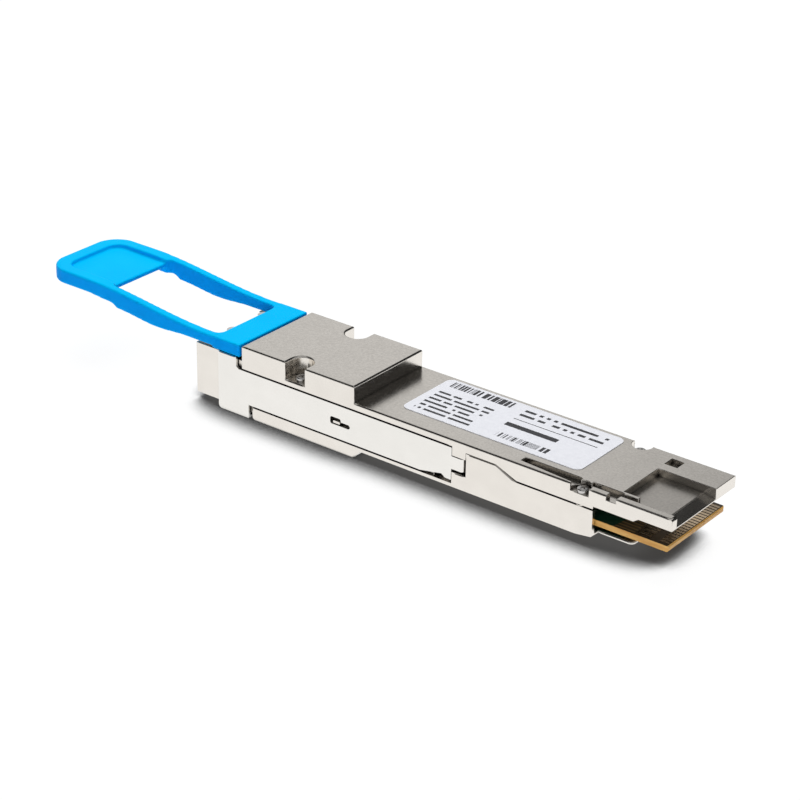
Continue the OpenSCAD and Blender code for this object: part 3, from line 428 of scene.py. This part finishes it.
# Flexible circuits: amber film with copper lines, soldered from the optics to the board.
# The copper shows through the film as paler stripes along each strip.
amber_film, tree, shader = start_finish("amber_film")
stripes = place_noise(tree, 3000, 0, stretch=(0.01, 1, 0.01))
shade_from(tree, stripes, (0.3, 0.1, 0.012), (0.55, 0.24, 0.05), shader.inputs["Base Color"])
spread_from(tree, stripes, 0.25, 0.4, shader.inputs["Roughness"])
dress(amber_film, "flex_circuits")

# Main board: glass-epoxy laminate whose rear end is the card edge.
# Amber where it is cut, dark mask with paler tracks on its faces, green mask near the mouth.
tongue_length = 0.0064
track_pitch = 0.0008
board_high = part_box("main_board")[1]
mouth_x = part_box("lower_housing")[1].x - tongue_length
track_start_x, track_end_x = mouth_x + 0.0012, board_high.x - 0.0062
green_end_x = mouth_x + 0.0042
laminate, tree, shader = start_finish("laminate")
x, y = split_place(tree)[:2]
fibres = place_noise(tree, 2200, 2, stretch=(0.08, 0.08, 1.4))
cut_edge = shade_from(tree, fibres, (0.62, 0.3, 0.06), (0.8, 0.47, 0.14))
blotch = place_noise(tree, 700, 2)
mask = shade_from(tree, blotch, (0.03, 0.019, 0.009), (0.055, 0.036, 0.017))
track = between(tree, reckon(tree, "FRACT", reckon(tree, "DIVIDE", y, track_pitch)), 0.3, 0.62)
track = reckon(tree, "MULTIPLY", track, between(tree, x, track_start_x, track_end_x))
tracked = lay_over(tree, reckon(tree, "MULTIPLY", track, 0.75), mask, (0.24, 0.155, 0.06))
slant = reckon(tree, "ADD", x, reckon(tree, "MULTIPLY", y, -0.12))
tracked = lay_over(tree, reckon(tree, "LESS_THAN", slant, green_end_x), tracked, (0.006, 0.035, 0.018))
flat = reckon(tree, "GREATER_THAN", reckon(tree, "ABSOLUTE", upward_part(tree)), lies_flat)
tree.links.new(lay_over(tree, flat, cut_edge, tracked), shader.inputs["Base Color"])
spread_from(tree, blotch, 0.3, 0.45, shader.inputs["Roughness"])
relief_from(tree, track, 0.00002, shader, 0.5)
dress(laminate, "main_board")

# Edge contacts: two rows of gold-plated pads on each face of the card.
# Thin copper, plated hard and rubbed bright where the host's springs slide.
contact_gold, tree, shader = start_finish("contact_gold")
shader.inputs["Metallic"].default_value = 1.0
rub = place_noise(tree, 3600, 2, stretch=(0.1, 1, 1))
shade_from(tree, rub, (0.55, 0.43, 0.29), (0.64, 0.52, 0.38), shader.inputs["Base Color"])
spread_from(tree, rub, 0.18, 0.34, shader.inputs["Roughness"])
relief_from(tree, rub, 0.000002, shader, 0.5)
dress(contact_gold, "edge_contacts_top", "edge_contacts_bottom")

# Chips: processor, controller and laser drivers in moulded epoxy packages.
# Soldered to the board's upper face; the mould leaves a fine matt grain.
chip_epoxy, tree, shader = start_finish("chip_epoxy")
grain = place_noise(tree, 5000, 2)
shade_from(tree, grain, (0.012, 0.012, 0.014), (0.024, 0.024, 0.027), shader.inputs["Base Color"])
spread_from(tree, grain, 0.4, 0.6, shader.inputs["Roughness"])
relief_from(tree, grain, 0.000006, shader, 0.5)
dress(chip_epoxy, "signal_processor", "controller_chip", "laser_drivers")

# Power inductors and capacitors: pressed ferrite blocks and sintered ceramic chips.
# Soldered beside the processor; both have a slightly porous face.
ferrite, tree, shader = start_finish("pressed_ferrite")
pores = place_noise(tree, 4200, 3)
shade_from(tree, pores, (0.03, 0.03, 0.034), (0.065, 0.065, 0.072), shader.inputs["Base Color"])
spread_from(tree, pores, 0.5, 0.7, shader.inputs["Roughness"])
dress(ferrite, "power_inductors")
ceramic_tan, tree, shader = start_finish("sintered_ceramic")
pores = place_noise(tree, 4200, 3)
shade_from(tree, pores, (0.32, 0.22, 0.11), (0.42, 0.3, 0.17), shader.inputs["Base Color"])
spread_from(tree, pores, 0.35, 0.55, shader.inputs["Roughness"])
dress(ceramic_tan, "board_capacitors")

# Upper housing: zinc lid with the raised block, the rear pocket and the screw pockets.
# Die-cast and plated like the lower housing, and screwed down on it along the parting line.
# The pocket's floor falls off a little more towards the rear end than in the solid.
lid_edge = 0.0003
floor_fall = 0.00022
lid_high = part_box("upper_housing")[1]
lid_side_y = lid_high.y - 0.0002
lid_end_x = lid_high.x - 0.00002
block_z = lid_top_z + 0.0025
top_edge_z = lid_top_z - 0.0005
ramp_end_z = lid_top_z - 0.00159
ramp_reach = 0.0001


def lid_share(spot, upward):
    """Full roundings along the sides of the top and round the block, and little elsewhere."""
    rim = abs(spot.y) > lid_side_y or spot.z > block_z
    return 1.0 if upward > facing_up and rim and spot.z > top_edge_z else seam_share


lid_form = merged_copy("upper_housing")
for corner in lid_form.verts:
    if corner.co.x > lid_end_x and abs(corner.co.z - ramp_end_z) < ramp_reach:
        corner.co.z -= floor_fall
upper_casting = soft_edged(lid_form, "upper_casting", lid_edge, 4, lid_share)
upper_casting.data.materials.append(satin_nickel)
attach(upper_casting, "housing")
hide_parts("upper_housing")

# Cover screws: four small machine screws with a rounded head and a cross recess.
# Turned from steel and nickel-plated; they pull the lid onto the tray.
screw_low, screw_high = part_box("cover_screws")
head_r, head_h, shank_r, shank_len = 0.001, 0.0006, 0.0005, 0.004
head_round, head_sides = 0.00024, 40
recess_half, recess_reach, recess_depth = 0.00013, 0.00058, 0.0003
front_y, rear_drop = 0.007375, 0.0011
front_spot = (screw_low.x + head_r, front_y, screw_high.z)
rear_spot = (screw_high.x - head_r, screw_high.y - head_r, screw_high.z - rear_drop)
screw = bmesh.new()
bmesh.ops.create_cone(
    screw, cap_ends=True, segments=head_sides, radius1=head_r, radius2=head_r, depth=head_h)
bmesh.ops.translate(screw, verts=screw.verts, vec=(0, 0, -head_h / 2))
under = [f for f in screw.faces if f.normal.z < -0.9]
bmesh.ops.inset_region(screw, faces=under, thickness=head_r - shank_r, use_even_offset=True)
under = [f for f in screw.faces if f.normal.z < -0.9 and len(f.verts) == head_sides and f.calc_area() > 4e-7]
shank = bmesh.ops.extrude_face_region(screw, geom=under)
shank_end = [v for v in shank["geom"] if isinstance(v, bmesh.types.BMVert)]
bmesh.ops.delete(screw, geom=under, context="FACES_ONLY")
bmesh.ops.translate(screw, verts=shank_end, vec=(0, 0, -shank_len))
rim = [e for e in screw.edges if all(v.co.z > -1e-6 for v in e.verts)]
bmesh.ops.bevel(screw, geom=rim, offset=head_round, segments=4, profile=0.5, affect="EDGES", material=-1)
cuts = [(axis, reach * side) for axis in (0, 1) for reach in (recess_half, recess_reach) for side in (-1, 1)]
for axis, at in cuts:
    top = [f for f in screw.faces if f.normal.z > 0.99]
    parts = top + [e for f in top for e in f.edges] + [v for f in top for v in f.verts]
    spot = [0, 0, 0]
    way = [0, 0, 0]
    spot[axis], way[axis] = at, 1
    parts = list(dict.fromkeys(parts))
    bmesh.ops.bisect_plane(screw, geom=parts, dist=1e-7, plane_co=spot, plane_no=way)


def in_recess(face):
    """Whether a face of the head lies in the cross."""
    mid = face.calc_center_median()
    near, far_off = sorted((abs(mid.x), abs(mid.y)))
    return face.normal.z > 0.99 and near < recess_half and far_off < recess_reach


sunk = [f for f in screw.faces if in_recess(f)]
pressed = bmesh.ops.extrude_face_region(screw, geom=sunk)
bmesh.ops.delete(screw, geom=sunk, context="FACES_ONLY")
pit = [v for v in pressed["geom"] if isinstance(v, bmesh.types.BMVert)]
bmesh.ops.translate(screw, verts=pit, vec=(0, 0, -recess_depth))
bmesh.ops.scale(screw, verts=pit, vec=(0.75, 0.75, 1))
bmesh.ops.recalc_face_normals(screw, faces=screw.faces)
one_screw = screw.verts[:] + screw.edges[:] + screw.faces[:]
for x_place, y_place, z_place in (front_spot, rear_spot):
    for side in (-1, 1):
        copied = bmesh.ops.duplicate(screw, geom=one_screw)
        points = [v for v in copied["geom"] if isinstance(v, bmesh.types.BMVert)]
        bmesh.ops.rotate(screw, verts=points, cent=(0, 0, 0), matrix=Matrix.Rotation(0.5 + side, 3, "Z"))
        bmesh.ops.translate(screw, verts=points, vec=(x_place, side * y_place, z_place))
bmesh.ops.delete(screw, geom=[v for v in one_screw if isinstance(v, bmesh.types.BMVert)], context="VERTS")
for face in screw.faces:
    face.smooth = True
lid_screws = show(screw, "lid_screws")
lid_screws.data.set_sharp_from_angle(angle=math.radians(32))
plated_steel, tree, shader = start_finish("plated_steel")
shader.inputs["Metallic"].default_value = 1.0
turned = place_noise(tree, 5000, 2)
shade_from(tree, turned, (0.6, 0.585, 0.57), (0.68, 0.665, 0.65), shader.inputs["Base Color"])
spread_from(tree, turned, 0.18, 0.3, shader.inputs["Roughness"])
relief_from(tree, turned, 0.000003, shader, 0.5)
lid_screws.data.materials.append(plated_steel)
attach(lid_screws, "housing")
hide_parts("cover_screws")

# Label: white polyester sticker on the lid, printed with plain generic bars and rules.
# Cut with round corners and pressed on; the print is a dull dark grey.
# It is trimmed a little shorter than the solid and lies a little nearer to the grooved side.
front_trim = 0.0009
rear_trim = 0.0003
far_trim = 0.0005
near_shift = 0.00035
sticker, tree, shader = start_finish("printed_sticker")
label_low, label_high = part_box("product_label")
x, y = split_place(tree)[:2]


def random_cell(tree, across_value, along_value=None):
    """A number from 0 to 1 that is drawn once for each cell."""
    cell = tree.nodes.new("ShaderNodeCombineXYZ")
    tree.links.new(across_value, cell.inputs["X"])
    if along_value is not None:
        tree.links.new(along_value, cell.inputs["Y"])
    chance = tree.nodes.new("ShaderNodeTexWhiteNoise")
    chance.noise_dimensions = "2D"
    tree.links.new(cell.outputs["Vector"], chance.inputs["Vector"])
    return chance.outputs["Value"]


def field(tree, x0, x1, y0, y1):
    """A rectangle of the label, in millimetres."""
    along = between(tree, x, x0 / 1000, x1 / 1000)
    across = between(tree, y, y0 / 1000, y1 / 1000)
    return reckon(tree, "MULTIPLY", along, across)


def upright_bars(tree, x0, x1, y0, y1, bar):
    """A field of plain upright bars of uneven width."""
    count = reckon(tree, "FLOOR", reckon(tree, "DIVIDE", x, bar / 1000))
    dark = reckon(tree, "GREATER_THAN", random_cell(tree, count), 0.48)
    return reckon(tree, "MULTIPLY", dark, field(tree, x0, x1, y0, y1))


def broken_rules(tree, x0, x1, y0, y1, pitch, dash):
    """A field of rules that are broken into uneven dashes."""
    row_place = reckon(tree, "DIVIDE", reckon(tree, "SUBTRACT", y, y0 / 1000), pitch / 1000)
    row = reckon(tree, "FLOOR", row_place)
    inked = reckon(tree, "LESS_THAN", reckon(tree, "FRACT", row_place), 0.42)
    cell = reckon(tree, "FLOOR", reckon(tree, "DIVIDE", x, dash / 1000))
    dark = reckon(tree, "GREATER_THAN", random_cell(tree, cell, row), 0.3)
    line = reckon(tree, "MULTIPLY", inked, dark)
    return reckon(tree, "MULTIPLY", line, field(tree, x0, x1, y0, y1))


print_fields = [
    upright_bars(tree, 13.0, 25.5, 5.6, 7.6, 0.14),
    upright_bars(tree, 29.0, 39.0, -3.9, -2.3, 0.12),
    broken_rules(tree, 13.0, 24.0, -3.9, 4.2, 1.35, 0.55),
    broken_rules(tree, 28.0, 44.0, 4.4, 7.6, 1.6, 0.7),
    field(tree, 28.0, 44.0, 2.9, 3.1),
    field(tree, 28.0, 38.0, 0.2, 1.4),
]
ink = print_fields[0]
for part in print_fields[1:]:
    ink = reckon(tree, "MAXIMUM", ink, part)
film = place_noise(tree, 1200, 2)
white = shade_from(tree, film, (0.81, 0.82, 0.875), (0.86, 0.87, 0.92))
tree.links.new(lay_over(tree, ink, white, (0.03, 0.03, 0.035)), shader.inputs["Base Color"])
spread_from(tree, film, 0.34, 0.44, shader.inputs["Roughness"])
relief_from(tree, film, 0.000004, shader, 0.3)
label_form = merged_copy("product_label")
for corner in label_form.verts:
    corner.co.x += front_trim if corner.co.x < (label_low.x + label_high.x) / 2 else -rear_trim
    corner.co.y -= near_shift if corner.co.y < (label_low.y + label_high.y) / 2 else far_trim
sticker_film = show(label_form, "sticker_film")
sticker_film.data.materials.append(sticker)
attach(sticker_film, "housing")
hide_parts("product_label")

# Release slider: stamped stainless sheet that wraps the nose and runs back along both sides.
# It slides in the arm channels; its slots stop it at the pegs and its tips are rolled.
# The gap between the arms and the lid is drawn a little wider than in the solid.
slider_edge = 0.00014
arm_top_z = 0.0087
arm_inner_y = 0.0087
arm_gap = 0.00012
inner_share = 0.35
bracket_z = 0.0085
sheet_side_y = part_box("release_slider")[1].y - 0.00002


def sheet_share(spot, upward):
    """Full roundings on the outer upper edge of the sheet, and little elsewhere."""
    outer = abs(spot.y) > sheet_side_y and spot.z > bracket_z
    return 1.0 if outer and upward > facing_up else inner_share


slider_form = merged_copy("release_slider")
for corner in slider_form.verts:
    if abs(corner.co.z - arm_top_z) < same_place and abs(corner.co.y) > arm_inner_y:
        corner.co.z -= arm_gap
slider_sheet = soft_edged(slider_form, "slider_sheet", slider_edge, 3, sheet_share)
bright_sheet, tree, shader = start_finish("bright_sheet")
shader.inputs["Metallic"].default_value = 1.0
lines = place_noise(tree, 3200, 3, stretch=(0.12, 1, 1))
cloud = place_noise(tree, 240, 2)
sheen = shade_from(tree, cloud, (0.87, 0.85, 0.81), (0.9, 0.88, 0.84))
# Painted shade: the sheet's colour is darkened in its gaps, slots and inner corners.
painted_gap_shade(tree, sheen, shader.inputs["Base Color"])
spread_from(tree, lines, 0.18, 0.26, shader.inputs["Roughness"])
relief_from(tree, lines, 0.000003, shader, 0.5)
slider_sheet.data.materials.append(bright_sheet)
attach(slider_sheet, "release")
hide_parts("release_slider")

# Pull tab: blue elastomer loop with deep rails and a hollowed thumb pad.
# Moulded over the slider's two tongues, with generously round edges and a satin face.
# Its end stands a little further from the block than in the solid.
tab_low, tab_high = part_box("pull_tab")
end_trim = 0.00025
end_reach = 0.004
anchor_length = 0.0062
corner_x = tab_low.x + 0.01475
corner_reach = 0.0012
inner_y = tab_high.y - 0.0011
whole_rounds, all_rounds, corner_rounds = 3, 9, 8
tab_moulding = show(merged_copy("pull_tab"), "tab_moulding")
skin = tab_moulding.modifiers.new("even_skin", "REMESH")
skin.mode = "VOXEL"
skin.voxel_size = 0.00016
skinned = tab_moulding.evaluated_get(bpy.context.evaluated_depsgraph_get())
tab_form = bmesh.new()
tab_form.from_mesh(skinned.to_mesh())
skinned.to_mesh_clear()
tab_moulding.modifiers.clear()
loose = [v for v in tab_form.verts if v.co.x < tab_high.x - anchor_length]
for attempt in range(all_rounds):
    bmesh.ops.smooth_vert(
        tab_form, verts=tab_form.verts if attempt < whole_rounds else loose, factor=0.5,
        use_axis_x=True, use_axis_y=True, use_axis_z=True)
round_corner = [v for v in loose if abs(v.co.x - corner_x) < corner_reach and abs(v.co.y) < inner_y]
for attempt in range(corner_rounds):
    bmesh.ops.smooth_vert(
        tab_form, verts=round_corner, factor=0.5, use_axis_x=True, use_axis_y=True, use_axis_z=True)
for point in tab_form.verts:
    point.co.x -= end_trim * min(max(1 - (tab_high.x - point.co.x) / end_reach, 0), 1)
for face in tab_form.faces:
    face.smooth = True
tab_form.to_mesh(tab_moulding.data)
tab_form.free()
blue_elastomer, tree, shader = start_finish("blue_elastomer")
grain = place_noise(tree, 4200, 2)
cloud = place_noise(tree, 150, 2)
# Painted shade: faces that stand upright get a darker, deeper blue than faces that lie flat, for the shade
# they are in.
upward = shade_from(tree, cloud, (0.0, 0.52, 0.97), (0.0, 0.55, 1.0))
shaded_side_blue = shade_from(tree, cloud, (0.0, 0.33, 0.96), (0.0, 0.36, 1.0))
lying = reckon(tree, "MINIMUM", reckon(tree, "ABSOLUTE", upward_part(tree)), 1.0)
tree.links.new(lay_over(tree, lying, shaded_side_blue, upward), shader.inputs["Base Color"])
spread_from(tree, grain, 0.4, 0.52, shader.inputs["Roughness"])
relief_from(tree, grain, 0.000005, shader, 0.5)
shader.inputs["Specular IOR Level"].default_value = 0.02
tab_moulding.data.materials.append(blue_elastomer)
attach(tab_moulding, "release")
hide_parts("pull_tab")

# Return springs: two open coils of bright steel wire in the pockets under the arms.
# Wound with closed end turns; the slider's tabs press them when the tab is pulled.
spring_steel, tree, shader = start_finish("spring_steel")
shader.inputs["Metallic"].default_value = 1.0
drawn = place_noise(tree, 4000, 2)
shade_from(tree, drawn, (0.7, 0.69, 0.67), (0.78, 0.77, 0.75), shader.inputs["Base Color"])
spread_from(tree, drawn, 0.16, 0.28, shader.inputs["Roughness"])
wire_r = 0.00012
closed_pitch = 0.00026
open_turns = 6.0
steps_in_turn = 28
for side, node in (("left", "return_spring_left"), ("right", "return_spring_right")):
    coil_low, coil_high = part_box(node)
    middle = (coil_low + coil_high) / 2
    coil_r = (coil_high.z - coil_low.z) / 2 - wire_r
    run = coil_high.x - coil_low.x - 2 * wire_r
    coil = bmesh.new()
    bmesh.ops.create_circle(coil, segments=12, radius=wire_r)
    bmesh.ops.translate(coil, verts=coil.verts, vec=(coil_low.x + wire_r, middle.y + coil_r, middle.z))
    wire_end = coil.edges[:] + coil.verts[:]
    for turns, length in ((1.0, closed_pitch), (open_turns, run - 2 * closed_pitch), (1.0, closed_pitch)):
        steps = int(turns * steps_in_turn)
        wound = bmesh.ops.spin(
            coil, geom=wire_end, cent=(coil_low.x, middle.y, middle.z), axis=(1, 0, 0),
            dvec=(length / steps, 0, 0), angle=2 * math.pi * turns, steps=steps)
        wire_end = wound["geom_last"]
    bmesh.ops.remove_doubles(coil, verts=coil.verts, dist=1e-8)
    bmesh.ops.holes_fill(coil, edges=[e for e in coil.edges if len(e.link_faces) == 1], sides=12)
    bmesh.ops.recalc_face_normals(coil, faces=coil.faces)
    for face in coil.faces:
        face.smooth = True
    wound_spring = show(coil, "coil_" + side)
    wound_spring.data.set_sharp_from_angle(angle=math.radians(50))
    wound_spring.data.materials.append(spring_steel)
    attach(wound_spring, "housing")
    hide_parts(node)
    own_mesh(wound_spring)

# Studio: a plain white floor with a painted soft contact shadow, a round softbox and a weaker fill lamp.
# The room is white near the floor and dark above it, with pale panels for the metal to mirror.
floor_form = bmesh.new()
bmesh.ops.create_grid(floor_form, x_segments=4, y_segments=4, size=1.5)
studio_floor = show(floor_form, "studio_floor")
floor_white = bpy.data.materials.new("floor_white")
floor_white.use_nodes = True
tree = floor_white.node_tree
tree.nodes.remove(tree.nodes["Principled BSDF"])
matt = tree.nodes.new("ShaderNodeBsdfDiffuse")
lift = tree.nodes.new("ShaderNodeEmission")
ray = tree.nodes.new("ShaderNodeLightPath")
seen = ray.outputs["Is Camera Ray"]
tree.links.new(lay_over(tree, seen, (0.95, 0.95, 0.95), (0.08, 0.08, 0.08)), matt.inputs["Color"])
# Painted shadow: for camera rays the floor's glow falls off where the module hems it in, with the hemisphere
# tilted so the shadow leans to the front.
shadow_occlusion = tree.nodes.new("ShaderNodeAmbientOcclusion")
shadow_occlusion.samples = 20
shadow_occlusion.inputs["Distance"].default_value = 0.013
shadow_lean = tree.nodes.new("ShaderNodeNormal")
shadow_lean.outputs["Normal"].default_value = Vector((0.15, 0.3, 0.94)).normalized()
tree.links.new(shadow_lean.outputs["Normal"], shadow_occlusion.inputs["Normal"])
painted_shadow_share = tree.nodes.new("ShaderNodeMapRange")
painted_shadow_share.interpolation_type = "SMOOTHSTEP"
painted_shadow_share.inputs["From Min"].default_value = 0.4
painted_shadow_share.inputs["From Max"].default_value = 0.66
painted_shadow_share.inputs["To Min"].default_value = 0.03
painted_shadow_share.inputs["To Max"].default_value = 0.955
tree.links.new(shadow_occlusion.outputs["AO"], painted_shadow_share.inputs["Value"])
tree.links.new(reckon(tree, "MULTIPLY", seen, painted_shadow_share.outputs["Result"]), lift.inputs["Strength"])
lit = tree.nodes.new("ShaderNodeAddShader")
tree.links.new(matt.outputs["BSDF"], lit.inputs[0])
tree.links.new(lift.outputs["Emission"], lit.inputs[1])
plain_white = tree.nodes.new("ShaderNodeEmission")
plain_white.inputs["Strength"].default_value = 0.97
mirrored = reckon(tree, "MAXIMUM", ray.outputs["Is Glossy Ray"], ray.outputs["Is Transmission Ray"])
either = tree.nodes.new("ShaderNodeMixShader")
tree.links.new(mirrored, either.inputs["Fac"])
tree.links.new(lit.outputs["Shader"], either.inputs[1])
tree.links.new(plain_white.outputs["Emission"], either.inputs[2])
tree.links.new(either.outputs["Shader"], tree.nodes["Material Output"].inputs["Surface"])
studio_floor.data.materials.append(floor_white)

for name, width, energy, place in (
        ("softbox", 0.7, 5.7, (-0.2, 0.34, 0.68)), ("fill", 0.6, 1.6, (0.3, -0.68, 0.3))):
    lamp = bpy.data.lights.new(name, "AREA")
    lamp.shape = "DISK"
    lamp.size = width
    lamp.energy = energy
    lamp_stand = bpy.data.objects.new(name, lamp)
    bpy.context.scene.collection.objects.link(lamp_stand)
    lamp_stand.location = place
    lamp_stand.rotation_euler = (-Vector(place)).to_track_quat("-Z", "Y").to_euler()
    lamp_stand.visible_glossy = False

room = bpy.data.worlds.new("room")
bpy.context.scene.world = room
room.use_nodes = True
tree = room.node_tree
back = tree.nodes["Background"]
way = tree.nodes.new("ShaderNodeTexCoord")
parts = tree.nodes.new("ShaderNodeSeparateXYZ")
tree.links.new(way.outputs["Generated"], parts.inputs["Vector"])


def panel(towards, level, inner, outer):
    """A soft pale panel in the room, full within one angle of its middle and gone at another."""
    aim = tree.nodes.new("ShaderNodeVectorMath")
    aim.operation = "DOT_PRODUCT"
    aim.inputs[1].default_value = Vector(towards).normalized()
    tree.links.new(way.outputs["Generated"], aim.inputs[0])
    fade = tree.nodes.new("ShaderNodeMapRange")
    fade.interpolation_type = "SMOOTHSTEP"
    fade.inputs["From Min"].default_value = math.cos(math.radians(outer))
    fade.inputs["From Max"].default_value = math.cos(math.radians(inner))
    fade.inputs["To Max"].default_value = level
    tree.links.new(aim.outputs["Value"], fade.inputs["Value"])
    return fade.outputs["Result"]


skirting = tree.nodes.new("ShaderNodeMapRange")
skirting.interpolation_type = "SMOOTHSTEP"
skirting.inputs["From Min"].default_value = 0.02
skirting.inputs["From Max"].default_value = 0.14
skirting.inputs["To Min"].default_value = 1.0
skirting.inputs["To Max"].default_value = 0.02
tree.links.new(parts.outputs["Z"], skirting.inputs["Value"])
skirting = reckon(tree, "MULTIPLY", skirting.outputs["Result"], panel((-0.5, -0.85, 0), 1.0, 60, 100))
walls = reckon(tree, "MAXIMUM", skirting, panel((-0.778, 0.505, 0.375), 0.63, 19, 38))
walls = reckon(tree, "MAXIMUM", walls, 0.02)
for towards, level, inner, outer in (
        ((0.9, -0.45, 0.25), 0.42, 20, 40), ((0.93, 0.22, 0.28), 0.4, 14, 30),
        ((0.1, -0.9, 0.35), 0.32, 12, 28), ((0.15, -0.05, 1.0), 0.5, 20, 33),
        ((-0.05, -0.35, 0.93), 0.45, 15, 24)):
    walls = reckon(tree, "MAXIMUM", walls, panel(towards, level, inner, outer))
ray = tree.nodes.new("ShaderNodeLightPath")
walls = reckon(tree, "MAXIMUM", walls, ray.outputs["Is Camera Ray"])
tree.links.new(walls, back.inputs["Strength"])
back.inputs["Color"].default_value = (1, 1, 1, 1)

# Camera: long lens from the right and in front, at the height that the photograph was taken from.
# Its place and turn come from fitting the body's known width and height to the picture.
camera_data = bpy.data.cameras.new("camera")
camera_data.sensor_width = 36
camera_data.lens = 106.735
camera_data.clip_start = 0.01
camera = bpy.data.objects.new("camera", camera_data)
bpy.context.scene.collection.objects.link(camera)
turn, lift_angle, roll = (math.radians(a) for a in (37.1918, 26.3408, 1.1979))
level_reach = math.cos(lift_angle)
behind = Vector((math.sin(turn) * level_reach, -math.cos(turn) * level_reach, math.sin(lift_angle)))
right = Vector((math.cos(turn), math.sin(turn), 0))
upward = behind.cross(right)
image_right = math.cos(roll) * right + math.sin(roll) * upward
image_up = -math.sin(roll) * right + math.cos(roll) * upward
stand = Vector((0.218535, -0.278315, 0.18094))
pose = Matrix((image_right, image_up, behind)).transposed().to_4x4()
pose.translation = stand
camera.matrix_world = pose
bpy.context.scene.camera = camera
bpy.context.scene.view_settings.view_transform = "Standard"
